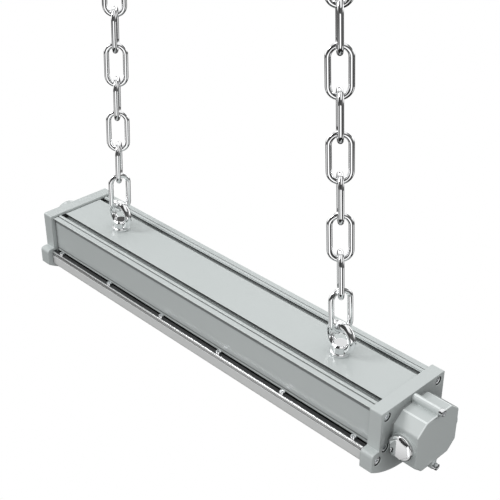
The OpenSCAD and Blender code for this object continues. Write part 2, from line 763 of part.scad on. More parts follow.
// The round cap closes the wiring entry in the left plate.
module left_end_cap() {
    face = plate_face + cap_ring_t;
    rim = 3;
    neck_l = plate_t - 4 + cap_ring_t;
    color(grey) in_lamp() mirror([1, 0, 0]) translate([face, 0, -cap_drop]) rotate([0, 90, 0]) difference() {
        union() {
            rotate_extrude() polygon([[0, 0], [cap_r, 0], [cap_r, cap_l - rim], [cap_r - rim, cap_l], [0, cap_l]]);
            translate([0, 0, -neck_l]) cylinder(r = neck_r, h = neck_l + 1);
        }
        translate([0, 0, -neck_l - cut]) cylinder(r = neck_r - 4, h = neck_l + cap_l - 5 + cut);
    }
}
module left_cap_ring() {
    color(black) in_lamp() mirror([1, 0, 0]) difference() {
        rod_x(cap_r - 1, plate_face, plate_face + cap_ring_t, [0, -cap_drop]);
        rod_x(neck_r + thread_gap, plate_face - cut, plate_face + cap_ring_t + cut, [0, -cap_drop]);
    }
}

// A lifting eye nut: a collar and a hub that carry a ring whose hole faces across the lamp.
module eye_nut(x) {
    edge = 0.8;
    color(steel) in_lamp() translate([x, 0, top_z]) difference() {
        union() {
            cylinder(d = collar_d, h = collar_h);
            cylinder(d = hub_d, h = hub_h - edge);
            translate([0, 0, hub_h - edge]) cylinder(d1 = hub_d, d2 = hub_d - 2 * edge, h = edge);
            intersection() {
                translate([0, 0, eye_d / 2]) rotate([90, 0, 0])
                    rotate_extrude() translate([eye_r, 0]) circle(d = eye_wire);
                translate([-eye_d, -eye_d, 0.4]) cube(2 * eye_d);
            }
        }
        translate([0, 0, -cut]) cylinder(d = stud_d + 2 * thread_gap, h = stud_bite + cut);
    }
}
module eye_nut_left() { eye_nut(-eye_x); }
module eye_nut_right() { eye_nut(eye_x); }

// Under each eye, a stud draws a backing plate up against the housing's roof.
stud_end = top_z - wall - stud_plate.z - stud_nut_h - 2;
module eye_studs() {
    color(steel) in_lamp() for (x = [-eye_x, eye_x]) rod_z(stud_d / 2, stud_end, top_z + stud_bite - 0.5, x, 0);
}
module stud_plates() {
    top = top_z - wall;
    color(steel) in_lamp() for (x = [-eye_x, eye_x]) difference() {
        block([x - stud_plate.x / 2, -stud_plate.y / 2, top - stud_plate.z],
              [x + stud_plate.x / 2, stud_plate.y / 2, top]);
        rod_z(stud_d / 2 + hole_gap / 2, top - stud_plate.z - cut, top + cut, x, 0);
    }
}
module stud_nuts() {
    high = top_z - wall - stud_plate.z;
    color(steel) in_lamp() for (x = [-eye_x, eye_x]) difference() {
        translate([x, 0, high - stud_nut_h]) cylinder(d = stud_nut_af / cos(30), h = stud_nut_h, $fn = 6);
        rod_z(stud_d / 2 + thread_gap, high - stud_nut_h - cut, high + cut, x, 0);
    }
}

// One chain link in the cross plane, its middle at the origin.
module link() {
    for (y = [-link_r, link_r]) rod_z(wire / 2, -link_leg, link_leg, 0, y);
    for (s = [0, 1]) mirror([0, 0, s]) translate([0, 0, link_leg]) rotate([90, 0, 90])
        rotate_extrude(angle = 180) translate([link_r, 0]) circle(d = wire);
}

// Link k of a chain, counted from the lamp. Neighbours stand crosswise to each other,
// and the whole chain leans about the middle of its eye.
function link_turn(k) = k == 1 ? first_turn : k % 2 == 1 ? odd_turn : even_turn;
function link_mid(k) = first_low - eye_z + link_half + (k - 1) * link_pitch;
module chain_link(side, k) {
    hand = side == "left" ? 1 : -1;
    color(steel) translate([-hand * eye_x, 0, lamp_z + eye_z]) rotate([0, hand * chain_lean, 0])
        translate([0, 0, link_mid(k)]) rotate(-link_turn(k)) link();
}

housing();
end_plate_left();
end_plate_right();
end_gasket_left();
end_gasket_right();
plate_screws_left();
plate_screws_right();
lens();
lens_gasket();
clamp_bar_front();
clamp_bar_back();
edge_trim_front();
edge_trim_back();
clamp_screws_front();
clamp_screws_back();
light_tray();
tray_screws();
led_boards();
board_screws();
led_chips();
driver();
driver_screws();
led_lead();
mains_lead();
terminal_cover();
terminal_gasket();
cover_screws();
terminal_block();
terminal_screws();
cable_bushing();
blanking_plug();
plug_washer();
left_end_cap();
left_cap_ring();
eye_nut_left();
eye_nut_right();
eye_studs();
stud_plates();
stud_nuts();
for (side = SIDES, k = [1 : LINKS])
    chain_link(side, k);
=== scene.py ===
"""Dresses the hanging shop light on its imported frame: shapes, finishes, studio light and camera."""

from __future__ import annotations

import json
import logging
import math
from dataclasses import dataclass, field, replace
from enum import Enum
from typing import Any, Callable, Iterable, Mapping, Sequence

import bmesh
import bpy
from mathutils import Matrix, Vector

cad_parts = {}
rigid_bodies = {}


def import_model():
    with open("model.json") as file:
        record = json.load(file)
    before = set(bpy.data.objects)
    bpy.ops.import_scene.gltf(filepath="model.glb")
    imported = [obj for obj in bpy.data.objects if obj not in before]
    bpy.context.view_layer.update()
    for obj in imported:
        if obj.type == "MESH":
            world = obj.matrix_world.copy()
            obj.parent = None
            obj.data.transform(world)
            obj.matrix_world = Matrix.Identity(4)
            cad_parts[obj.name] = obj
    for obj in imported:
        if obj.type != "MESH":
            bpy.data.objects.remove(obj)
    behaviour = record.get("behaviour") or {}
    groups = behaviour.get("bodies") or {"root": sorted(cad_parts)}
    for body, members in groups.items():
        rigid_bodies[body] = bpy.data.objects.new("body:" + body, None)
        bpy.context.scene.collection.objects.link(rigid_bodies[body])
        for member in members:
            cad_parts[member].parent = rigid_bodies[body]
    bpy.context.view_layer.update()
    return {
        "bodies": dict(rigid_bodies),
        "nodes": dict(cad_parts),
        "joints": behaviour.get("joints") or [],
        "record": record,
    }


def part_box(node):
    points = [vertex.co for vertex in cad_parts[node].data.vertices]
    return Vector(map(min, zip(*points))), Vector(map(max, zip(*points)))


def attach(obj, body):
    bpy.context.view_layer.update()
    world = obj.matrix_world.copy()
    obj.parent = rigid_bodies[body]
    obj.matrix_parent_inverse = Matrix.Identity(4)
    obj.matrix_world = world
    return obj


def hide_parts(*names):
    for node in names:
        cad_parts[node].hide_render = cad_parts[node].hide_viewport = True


LOG = logging.getLogger("shop_light")
MM = 0.001
SHARP_ANGLE = math.radians(50)
SIDES = ("left", "right")
NEAR = 0.1

Corner = tuple[float, float, float]
Colour = tuple[float, float, float]


class Slot(Enum):
    """The record's material slots."""

    GREY_PAINT = "grey_paint"
    BLACK_RUBBER = "black_rubber"
    SCREW_STEEL = "screw_steel"
    FROSTED_LENS = "frosted_lens"
    BLACK_BAR = "black_bar"
    POLISHED_TRIM = "polished_trim"
    TRAY_SHEET = "tray_sheet"
    BOARD_WHITE = "board_white"
    CHIP_YELLOW = "chip_yellow"
    DRIVER_CASE = "driver_case"
    LEAD_JACKET = "lead_jacket"
    BLOCK_PLASTIC = "block_plastic"
    POLISHED_STEEL = "polished_steel"
    PLAIN_STEEL = "plain_steel"
    CHAIN_STEEL = "chain_steel"


class Join(Enum):
    """How one solid works on another."""

    CARVE = "DIFFERENCE"
    FUSE = "UNION"
    KEEP = "INTERSECT"


class Axis(Enum):
    """A direction that a turned part points in."""

    ALONG = Vector((1, 0, 0))
    FRONT = Vector((0, -1, 0))
    BACK = Vector((0, 1, 0))


class Value:
    """A number in a node tree. Arithmetic on it adds Math nodes."""

    def __init__(self, graph: "Graph", socket: bpy.types.NodeSocket) -> None:
        """Wraps an output socket."""
        self.graph = graph
        self.socket = socket

    def _math(self, operation: str, first: Any, second: Any) -> "Value":
        """Adds one Math node on two numbers or values."""
        node = self.graph.node("ShaderNodeMath", {"operation": operation}, {0: first, 1: second})
        return Value(self.graph, node.outputs[0])

    def __add__(self, other: Any) -> "Value":
        """Adds a number or a value."""
        return self._math("ADD", self, other)

    def __mul__(self, other: Any) -> "Value":
        """Multiplies by a number or a value."""
        return self._math("MULTIPLY", self, other)

    def __sub__(self, other: Any) -> "Value":
        """Subtracts a number or a value."""
        return self._math("SUBTRACT", self, other)

    def __rsub__(self, other: Any) -> "Value":
        """Is subtracted from a number."""
        return self._math("SUBTRACT", other, self)

    def __truediv__(self, other: Any) -> "Value":
        """Divides by a number or a value."""
        return self._math("DIVIDE", self, other)

    def root(self) -> "Value":
        """Takes the square root."""
        return self._math("SQRT", self, 0.0)

    def ramp(self, low: float, high: float, start: float = 0.0, end: float = 1.0) -> "Value":
        """Eases from start to end while the value goes from low to high.

        Args:
            low: Where the change begins.
            high: Where it is complete.
            start: The result at low and below.
            end: The result at high and above.

        Returns:
            The eased value.
        """
        node = self.graph.node(
            "ShaderNodeMapRange",
            {"interpolation_type": "SMOOTHSTEP"},
            {0: self, 1: low, 2: high, 3: start, 4: end},
        )
        return Value(self.graph, node.outputs[0])


class Graph:
    """Adds nodes to one node tree."""

    def __init__(self, tree: bpy.types.NodeTree) -> None:
        """Empties the tree."""
        self.tree = tree
        tree.nodes.clear()

    def node(
        self, kind: str, settings: Mapping[str, Any] | None = None, inputs: Mapping[Any, Any] | None = None
    ) -> bpy.types.Node:
        """Adds a node.

        Args:
            kind: The node's type.
            settings: Its properties, set first.
            inputs: Values or links of its sockets, by name or number.

        Returns:
            The new node.
        """
        node = self.tree.nodes.new(kind)
        for name, value in (settings or {}).items():
            setattr(node, name, value)
        for name, value in (inputs or {}).items():
            source = value.socket if isinstance(value, Value) else value
            if isinstance(source, bpy.types.NodeSocket):
                self.tree.links.new(source, node.inputs[name])
            else:
                node.inputs[name].default_value = source
        return node

    def position(self, stretch: Sequence[float] = (1, 1, 1)) -> bpy.types.NodeSocket:
        """The place on the object in metres, stretched along its axes."""
        coordinates = self.node("ShaderNodeTexCoord").outputs["Object"]
        return self.node("ShaderNodeMapping", inputs={"Vector": coordinates, "Scale": stretch}).outputs[0]

    def noise(self, grain: float, detail: float = 2.0, stretch: Sequence[float] = (1, 1, 1)) -> Value:
        """Noise from 0 to 1, with spots of grain millimetres; a small stretch draws them out."""
        inputs = {"Vector": self.position(stretch), "Scale": 1 / (grain * MM), "Detail": detail}
        return Value(self, self.node("ShaderNodeTexNoise", inputs=inputs).outputs[0])

    def tint(self, factor: Value, low: Colour, high: Colour) -> bpy.types.NodeSocket:
        """Mixes two colours by a value."""
        mix = self.node("ShaderNodeMix", {"data_type": "RGBA"}, {0: factor, 6: (*low, 1), 7: (*high, 1)})
        return mix.outputs[2]

    def relief(self, height: Value, depth: float) -> bpy.types.NodeSocket:
        """Turns a height from 0 to 1 into a bump of a depth in millimetres."""
        return self.node("ShaderNodeBump", inputs={"Height": height, "Distance": depth * MM}).outputs[0]


@dataclass(frozen=True)
class Finish:
    """A surface: colour, gloss, how far both wander, and its fine relief. Sizes are millimetres."""

    name: str
    slot: Slot
    colour: Colour
    roughness: float
    metallic: float = 0.0
    mottle: float = 0.03
    mottle_size: float = 40.0
    gloss_swing: float = 0.04
    relief_size: float = 1.2
    relief_depth: float = 0.004
    stretch: tuple[float, float, float] = (1, 1, 1)
    shine: float = 0.5
    softness: float = 0.0

    def colour_of(self, graph: Graph) -> bpy.types.NodeSocket:
        """The colour, drifting a little between darker and lighter.

        Args:
            graph: The material's nodes.

        Returns:
            The colour's socket.
        """
        low = tuple(c * (1 - self.mottle) for c in self.colour)
        high = tuple(min(1.0, c * (1 + self.mottle)) for c in self.colour)
        return graph.tint(graph.noise(self.mottle_size), low, high)

    def relief_of(self, graph: Graph) -> bpy.types.NodeSocket:
        """The fine relief of the surface."""
        return graph.relief(graph.noise(self.relief_size, 3, self.stretch), self.relief_depth)

    def gloss_of(self, graph: Graph) -> Value:
        """The roughness, duller in patches."""
        patches = graph.noise(self.mottle_size / 3, 3, self.stretch)
        return patches * (2 * self.gloss_swing) + (self.roughness - self.gloss_swing)

    def material(self) -> bpy.types.Material:
        """Builds the material once and gives it back after that.

        Returns:
            The material.
        """
        made = bpy.data.materials.get(self.name)
        if made:
            return made
        made = bpy.data.materials.new(self.name)
        made.use_nodes = True
        graph = Graph(made.node_tree)
        shader = graph.node(
            "ShaderNodeBsdfPrincipled",
            inputs={
                "Base Color": self.colour_of(graph),
                "Roughness": self.gloss_of(graph),
                "Metallic": self.metallic,
                "Normal": self.relief_of(graph),
                "Specular IOR Level": self.shine,
                "Subsurface Weight": self.softness,
                "Subsurface Radius": (0.004, 0.004, 0.004),
            },
        )
        graph.node("ShaderNodeOutputMaterial", inputs={"Surface": shader.outputs[0]})
        return made


@dataclass(frozen=True)
class BrushedFinish(Finish):
    """Metal with fine lines along one axis."""

    line_strength: float = 0.05

    def colour_of(self, graph: Graph) -> bpy.types.NodeSocket:
        """The colour, streaked along the lines."""
        low = tuple(c * (1 - self.line_strength) for c in self.colour)
        return graph.tint(graph.noise(self.relief_size, 4, self.stretch), low, self.colour)


@dataclass(frozen=True)
class PaintedShadeFinish(Finish):
    """Paint with painted shade that darkens towards a part standing on it, as the shade in a corner does."""

    middle: tuple[float, float] = (0.0, 0.0)
    near: float = 40.0
    far: float = 75.0
    loss: float = 0.45

    def colour_of(self, graph: Graph) -> bpy.types.NodeSocket:
        """The colour with painted shade, darker round the middle, which is across and height in millimetres.

        Args:
            graph: The material's nodes.

        Returns:
            The colour's socket.
        """
        place = graph.node("ShaderNodeSeparateXYZ", inputs={0: graph.position()})
        across, height = (Value(graph, place.outputs[k]) * (1 / MM) - self.middle[k - 1] for k in (1, 2))
        distance = (across * across + height * height).root()
        dark = tuple(c * (1 - self.loss) for c in self.colour)
        return graph.tint(distance.ramp(self.near, self.far), dark, self.colour)


@dataclass(frozen=True)
class Finishes:
    """Every finish of the lamp."""

    paint: Finish = Finish(
        "light_grey_powder_coat", Slot.GREY_PAINT, (0.585, 0.625, 0.62), 0.24, mottle=0.012,
        relief_size=1.6, relief_depth=0.004, gloss_swing=0.03,
    )
    # Painted highlight: a lighter copy of the grey paint for the cover's edges and rib crest, where light
    # glints.
    edge: Finish = Finish(
        "bright_edge_coat", Slot.GREY_PAINT, (0.84, 0.885, 0.88), 0.24, mottle=0.012,
    )
    # Painted shade: the plates' outer faces darken round the terminal box and the cap.
    plate_face: Finish = PaintedShadeFinish(
        "shaded_plate_coat", Slot.GREY_PAINT, (0.585, 0.625, 0.62), 0.24,
        relief_size=1.6, relief_depth=0.004, gloss_swing=0.03,
    )
    # Painted shade: the channels' floors darker than the paint, for the shade inside them.
    floor: Finish = Finish(
        "channel_floor_coat", Slot.GREY_PAINT, (0.40, 0.43, 0.425), 0.5, mottle=0.06, relief_size=2.0,
    )
    # Painted deep shade: near black paint on the channels' lips and in the plates' counterbores.
    channel: Finish = Finish(
        "shaded_channel_coat", Slot.GREY_PAINT, (0.022, 0.024, 0.024), 0.5, mottle=0.10, relief_size=2.0,
    )
    # Painted shade under the side lips, above the beads, in the grooves and on the channels' walls.
    corner: Finish = Finish(
        "dusty_corner_coat", Slot.GREY_PAINT, (0.25, 0.265, 0.265), 0.5, mottle=0.06, relief_size=2.0,
    )
    # Painted shadow: near black for the shadow lines along the wall's foot, the clamp bar's inner edge and
    # the trim.
    gap: Finish = Finish(
        "dark_gap_coat", Slot.BLACK_BAR, (0.004, 0.004, 0.004), 0.8, mottle=0.1, relief_size=2.0, shine=0.05,
    )
    grey_rubber: Finish = Finish(
        "grey_gasket_rubber", Slot.BLACK_RUBBER, (0.33, 0.345, 0.345), 0.7, mottle=0.1, relief_size=0.4,
    )
    # Painted shade: a darker, duller copy of the polished trim for its lower band.
    trim_face: Finish = Finish(
        "drawn_trim_face", Slot.POLISHED_TRIM, (0.74, 0.745, 0.745), 0.30, metallic=1.0, relief_depth=0.0,
    )
    lens: Finish = Finish(
        "frosted_lens_plastic", Slot.FROSTED_LENS, (0.80, 0.81, 0.805), 0.42, mottle=0.015,
        mottle_size=60, relief_size=0.5, relief_depth=0.003, softness=0.25,
    )
    bar: Finish = Finish(
        "black_clamp_bar", Slot.BLACK_BAR, (0.026, 0.027, 0.028), 0.38, mottle=0.2, relief_size=0.9,
    )
    rubber: Finish = Finish(
        "matt_black_rubber", Slot.BLACK_RUBBER, (0.03, 0.031, 0.032), 0.8, mottle=0.15, relief_size=0.4,
    )
    trim: Finish = BrushedFinish(
        "polished_trim_strip", Slot.POLISHED_TRIM, (0.88, 0.89, 0.89), 0.16, metallic=1.0,
        relief_size=0.7, relief_depth=0.0, stretch=(0.02, 1, 1), line_strength=0.03,
    )
    screw: Finish = Finish(
        "bright_screw_steel", Slot.SCREW_STEEL, (0.84, 0.85, 0.86), 0.13, metallic=1.0,
        mottle=0.04, mottle_size=6, relief_size=0.35, relief_depth=0.0008,
    )
    polished: Finish = Finish(
        "polished_cast_steel", Slot.POLISHED_STEEL, (0.90, 0.905, 0.91), 0.055, metallic=1.0,
        mottle=0.02, mottle_size=9, gloss_swing=0.02, relief_size=3.5, relief_depth=0.006,
    )
    plug: Finish = Finish(
        "polished_plug_steel", Slot.POLISHED_STEEL, (0.88, 0.885, 0.89), 0.05, metallic=1.0,
        mottle=0.02, mottle_size=9, gloss_swing=0.02, relief_size=9.0, relief_depth=0.002,
    )
    chain: Finish = Finish(
        "polished_chain_steel", Slot.CHAIN_STEEL, (0.88, 0.885, 0.89), 0.05, metallic=1.0,
        mottle=0.02, mottle_size=9, gloss_swing=0.02, relief_size=8.0, relief_depth=0.004,
    )
    plain: Finish = Finish(
        "zinc_plated_steel", Slot.PLAIN_STEEL, (0.55, 0.56, 0.56), 0.33, metallic=1.0,
        mottle=0.10, mottle_size=5, relief_size=0.8,
    )
    tray: Finish = BrushedFinish(
        "rolled_tray_sheet", Slot.TRAY_SHEET, (0.72, 0.73, 0.73), 0.32, metallic=1.0,
        relief_size=0.5, stretch=(0.03, 1, 1),
    )
    board: Finish = Finish(
        "white_board_mask", Slot.BOARD_WHITE, (0.82, 0.82, 0.78), 0.38, mottle=0.02, mottle_size=15,
    )
    chip: Finish = Finish(
        "yellow_phosphor", Slot.CHIP_YELLOW, (0.86, 0.68, 0.16), 0.5, mottle=0.08, mottle_size=1.5,
        relief_size=0.3,
    )
    driver: Finish = BrushedFinish(
        "drawn_driver_case", Slot.DRIVER_CASE, (0.60, 0.61, 0.62), 0.36, metallic=1.0,
        relief_size=0.4, stretch=(0.04, 1, 1),
    )
    jacket: Finish = Finish(
        "lead_jacket", Slot.LEAD_JACKET, (0.16, 0.17, 0.17), 0.5, mottle=0.06, relief_size=0.6,
    )
    block: Finish = Finish(
        "cream_block_plastic", Slot.BLOCK_PLASTIC, (0.74, 0.73, 0.68), 0.45, mottle=0.03, mottle_size=8,
    )


def linked(name: str, data: bpy.types.ID) -> bpy.types.Object:
    """Makes an object and links it to the scene.

    Args:
        name: Its name.
        data: Its mesh, light or camera.

    Returns:
        The object.
    """
    made = bpy.data.objects.new(name, data)
    bpy.context.scene.collection.objects.link(made)
    return made


def only(kind: type, parts: Iterable[Any]) -> list[Any]:
    """The parts that are of one kind."""
    return [part for part in parts if isinstance(part, kind)]


def both_halves(half: Sequence[Corner]) -> list[Corner]:
    """Closes a half outline with its mirror image."""
    return [*half, *((-across, height, radius) for across, height, radius in reversed(half))]


def slab(half_w: float, low: float, high: float) -> list[Corner]:
    """The corners of an upright rectangle in the middle of the cross plane."""
    return [(-half_w, low, 0), (half_w, low, 0), (half_w, high, 0), (-half_w, high, 0)]


class Shape:
    """A closed mesh in the making, in millimetres. Methods change it and give it back."""

    def __init__(self, bm: bmesh.types.BMesh | None = None) -> None:
        """Starts empty or with a mesh."""
        self.bm = bm or bmesh.new()

    @classmethod
    def section(
        cls, outline: Sequence[Corner], start: float, end: float, holes: Iterable[Corner] = (), arcs: int = 4
    ) -> "Shape":
        """Extrudes an outline in the cross plane along the lamp.

        Args:
            outline: Closed corners of across, height and corner radius.
            start: Where it starts along the lamp.
            end: Where it ends.
            holes: Round holes as across, height and radius.
            arcs: Steps in each round corner.

        Returns:
            The solid.
        """
        shape = cls()
        shape._add_outline(outline, start, arcs)
        holes = tuple(holes)
        if holes:
            for across, height, radius in holes:
                turn = Matrix.Translation((start, across, height)) @ Matrix.Rotation(math.pi / 2, 4, "Y")
                bmesh.ops.create_circle(shape.bm, segments=24, radius=radius, matrix=turn)
            bmesh.ops.delete(shape.bm, geom=shape.bm.faces[:], context="FACES_ONLY")
            bmesh.ops.triangle_fill(shape.bm, use_beauty=True, edges=shape.bm.edges[:])
        grown = bmesh.ops.extrude_face_region(shape.bm, geom=shape.bm.faces[:])["geom"]
        bmesh.ops.translate(shape.bm, verts=only(bmesh.types.BMVert, grown), vec=(end - start, 0, 0))
        return shape.mended()

    def _add_outline(self, outline: Sequence[Corner], start: float, arcs: int) -> None:
        """Adds a flat face with its round corners bevelled.

        Args:
            outline: Its corners of across, height and corner radius.
            start: Its place along the lamp.
            arcs: Steps in each round corner.
        """
        verts = [self.bm.verts.new((start, across, height)) for across, height, _ in outline]
        self.bm.faces.new(verts)
        for radius in sorted({r for _, _, r in outline if r > 0}):
            chosen = [v for v, corner in zip(verts, outline) if corner[2] == radius]
            bmesh.ops.bevel(
                self.bm, geom=chosen, offset=radius, offset_type="OFFSET", segments=arcs,
                profile=0.5, affect="VERTICES", material=-1, clamp_overlap=True,
            )

    @classmethod
    def lathe(cls, profile: Sequence[tuple[float, float]], steps: int = 48) -> "Shape":
        """Spins corners of radius and height round the upright axis.

        Args:
            profile: The corners, from axis to axis.
            steps: Steps in the full turn.

        Returns:
            The solid.
        """
        shape = cls()
        verts = [shape.bm.verts.new((radius, 0, height)) for radius, height in profile]
        edges = [shape.bm.edges.new(pair) for pair in zip(verts, verts[1:])]
        bmesh.ops.spin(
            shape.bm, geom=verts + edges, cent=(0, 0, 0), axis=(0, 0, 1), angle=math.tau,
            steps=steps, use_merge=True,
        )
        return shape.mended()

    @classmethod
    def prism(
        cls, radius: float, low: float, high: float, corners: int = 48, tip: float | None = None
    ) -> "Shape":
        """An upright cylinder, cone or prism from low to high.

        Args:
            radius: Its radius, to its corners, at the bottom.
            low: Height of its bottom.
            high: Height of its top.
            corners: How many sides it has.
            tip: Its radius at the top, where that differs.

        Returns:
            The solid.
        """
        shape = cls()
        bmesh.ops.create_cone(
            shape.bm, cap_ends=True, segments=corners, radius1=radius, radius2=radius if tip is None else tip,
            depth=high - low, matrix=Matrix.Translation((0, 0, (low + high) / 2)),
        )
        return shape

    def mended(self) -> "Shape":
        """Merges doubles and turns the faces outwards.

        Returns:
            The shape.
        """
        bmesh.ops.remove_doubles(self.bm, verts=self.bm.verts[:], dist=1e-4)
        bmesh.ops.recalc_face_normals(self.bm, faces=self.bm.faces[:])
        return self

    def copy(self) -> "Shape":
        """A second one just like it."""
        return Shape(self.bm.copy())

    def moved(self, x: float, y: float, z: float) -> "Shape":
        """Shifts it."""
        bmesh.ops.translate(self.bm, verts=self.bm.verts[:], vec=(x, y, z))
        return self

    def turned(self, degrees: float, axis: str) -> "Shape":
        """Turns it about an axis through the origin."""
        return self._turned_by(Matrix.Rotation(math.radians(degrees), 3, axis))

    def aimed(self, axis: Axis) -> "Shape":
        """Turns it so that what pointed up points along an axis."""
        return self._turned_by(Vector((0, 0, 1)).rotation_difference(axis.value).to_matrix())

    def _turned_by(self, turn: Matrix) -> "Shape":
        """Turns it by a matrix."""
        bmesh.ops.rotate(self.bm, verts=self.bm.verts[:], cent=(0, 0, 0), matrix=turn)
        return self

    def mirrored(self, x: float = 1, y: float = 1) -> "Shape":
        """Mirrors it across the planes whose factor is -1.

        Args:
            x: Factor along the lamp.
            y: Factor across it.

        Returns:
            The shape.
        """
        bmesh.ops.scale(self.bm, verts=self.bm.verts[:], vec=(x, y, 1))
        if x * y < 0:
            bmesh.ops.reverse_faces(self.bm, faces=self.bm.faces[:])
        return self

    def with_copies(self, places: Iterable[Sequence[float]]) -> "Shape":
        """Copies it to several places.

        Args:
            places: How far each copy is shifted.

        Returns:
            One shape that holds the copies.
        """
        group = Shape()
        for place in places:
            group.add(self.copy().moved(*place))
        return group

    def add(self, other: "Shape") -> "Shape":
        """Takes in another shape as a separate shell.

        Args:
            other: The other shape.

        Returns:
            The shape.
        """
        mesh = bpy.data.meshes.new("shell")
        other.bm.to_mesh(mesh)
        self.bm.from_mesh(mesh)
        bpy.data.meshes.remove(mesh)
        return self

    def _as_object(self) -> bpy.types.Object:
        """Makes a passing object that modifiers can work on.

        Returns:
            The object.
        """
        mesh = bpy.data.meshes.new("passing")
        self.bm.to_mesh(mesh)
        return linked("passing", mesh)

    def _take(self, worked: bpy.types.Object, others: Iterable[bpy.types.Object] = ()) -> "Shape":
        """Reads back what the modifiers made and clears the passing objects away.

        Args:
            worked: The object with the modifiers.
            others: Objects that they needed.

        Returns:
            The shape.
        """
        graph = bpy.context.evaluated_depsgraph_get()
        result = bpy.data.meshes.new_from_object(worked.evaluated_get(graph))
        self.bm.clear()
        self.bm.from_mesh(result)
        bpy.data.meshes.remove(result)
        for passing in (worked, *others):
            mesh = passing.data
            bpy.data.objects.remove(passing)
            bpy.data.meshes.remove(mesh)
        return self

    def joined(self, other: "Shape", how: Join) -> "Shape":
        """Works on it with another solid.

        Args:
            other: The other solid.
            how: Whether it carves, fuses or keeps what both share.

        Returns:
            The shape.
        """
        base, tool = self._as_object(), other._as_object()
        modifier = base.modifiers.new("join", "BOOLEAN")
        modifier.operation = how.value
        modifier.solver = "EXACT"
        modifier.object = tool
        self._take(base, [tool])
        bmesh.ops.dissolve_limit(
            self.bm, angle_limit=math.radians(0.5), verts=self.bm.verts[:], edges=self.bm.edges[:]
        )
        return self

    def melted(self, voxel: float, rounds: int) -> "Shape":
        """Fuses all shells into one skin and smooths their joints.

        Args:
            voxel: Fineness of the skin in millimetres.
            rounds: How often it is smoothed.

        Returns:
            The shape.
        """
        base = self._as_object()
        remesh = base.modifiers.new("skin", "REMESH")
        remesh.mode = "VOXEL"
        remesh.voxel_size = voxel
        smooth = base.modifiers.new("smooth", "SMOOTH")
        smooth.iterations = rounds
        smooth.factor = 0.5
        return self._take(base)

    def rounded(self, width: float, steps: int = 2, over: float = 35.0) -> "Shape":
        """Bevels every edge that is sharper than an angle.

        Args:
            width: Width of the bevel.
            steps: Steps in the bevel.
            over: The angle in degrees.

        Returns:
            The shape.
        """
        limit = math.radians(over)
        edges = [e for e in self.bm.edges if e.is_manifold and e.calc_face_angle(0.0) > limit]
        bmesh.ops.bevel(
            self.bm, geom=edges, offset=width, offset_type="OFFSET", segments=steps, profile=0.5,
            affect="EDGES", material=-1, clamp_overlap=False,
        )
        return self


@dataclass(frozen=True)
class Datum:
    """Where the lamp lies in the frame, in millimetres. Its own heights count from the end plates' tops."""

    top: float
    half_body: float
    plate_face: float
    rim_y: float
    seat_z: float

    @classmethod
    def read(cls) -> "Datum":
        """Reads the lamp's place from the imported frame.

        Returns:
            The place.
        """
        plate_low, plate_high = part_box("end_plate_right")
        return cls(
            top=plate_high.z / MM,
            half_body=plate_low.x / MM,
            plate_face=plate_high.x / MM,
            rim_y=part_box("lens")[1].y / MM,
            seat_z=(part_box("eye_nut_right")[0].z - plate_high.z) / MM,
        )


@dataclass
class Bench:
    """Turns shapes into finished pieces on the frame."""

    frame: dict
    datum: Datum
    finishes: Finishes = field(default_factory=Finishes)

    def body_of(self, node: str) -> str:
        """The name of the body that a node belongs to."""
        bodies = self.frame["record"]["behaviour"]["bodies"]
        return next(body for body, nodes in bodies.items() if node in nodes)

    def place(self, shape: Shape, node: str, finish: Finish, height: float | None = None) -> bpy.types.Object:
        """Makes a finished piece that stands for a node.

        Args:
            shape: The piece, with heights from the end plates' tops or from height.
            node: The node that it replaces.
            finish: Its surface.
            height: Height of the shape's zero in the frame, where it isn't in the lamp's own heights.

        Returns:
            The piece.
        """
        lift = self.datum.top if height is None else height
        shape.moved(0, 0, lift)
        bmesh.ops.scale(shape.bm, verts=shape.bm.verts[:], vec=(MM, MM, MM))
        mesh = bpy.data.meshes.new(f"{node}_finished")
        shape.bm.to_mesh(mesh)
        shape.bm.free()
        mesh.polygons.foreach_set("use_smooth", [True] * len(mesh.polygons))
        mesh.set_sharp_from_angle(angle=SHARP_ANGLE)
        mesh.materials.append(finish.material())
        piece = linked(f"{node}_finished", mesh)
        normals = piece.modifiers.new("normals", "WEIGHTED_NORMAL")
        normals.keep_sharp = True
        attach(piece, self.body_of(node))
        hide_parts(node)
        LOG.info("made %s, %d faces", piece.name, len(mesh.polygons))
        return piece

    def repaint(self, piece: bpy.types.Object, finish: Finish, chosen: Callable[[Vector], bool]) -> None:
        """Gives some faces of a piece a second finish.

        Args:
            piece: The piece.
            finish: The second surface.
            chosen: Tells from a face's middle, in the lamp's own millimetres, whether it gets it.
        """
        piece.data.materials.append(finish.material())
        latest = len(piece.data.materials) - 1
        zero = Vector((0, 0, self.datum.top))
        for face in piece.data.polygons:
            if chosen(face.center / MM - zero):
                face.material_index = latest

    def dress(self, finish: Finish, *nodes: str) -> None:
        """Gives nodes that keep their own shape a better material.

        Args:
            finish: The surface.
            nodes: The nodes' names.
        """
        for node in nodes:
            for slot in self.frame["nodes"][node].material_slots:
                slot.material = finish.material()
            LOG.info("dressed %s", node)


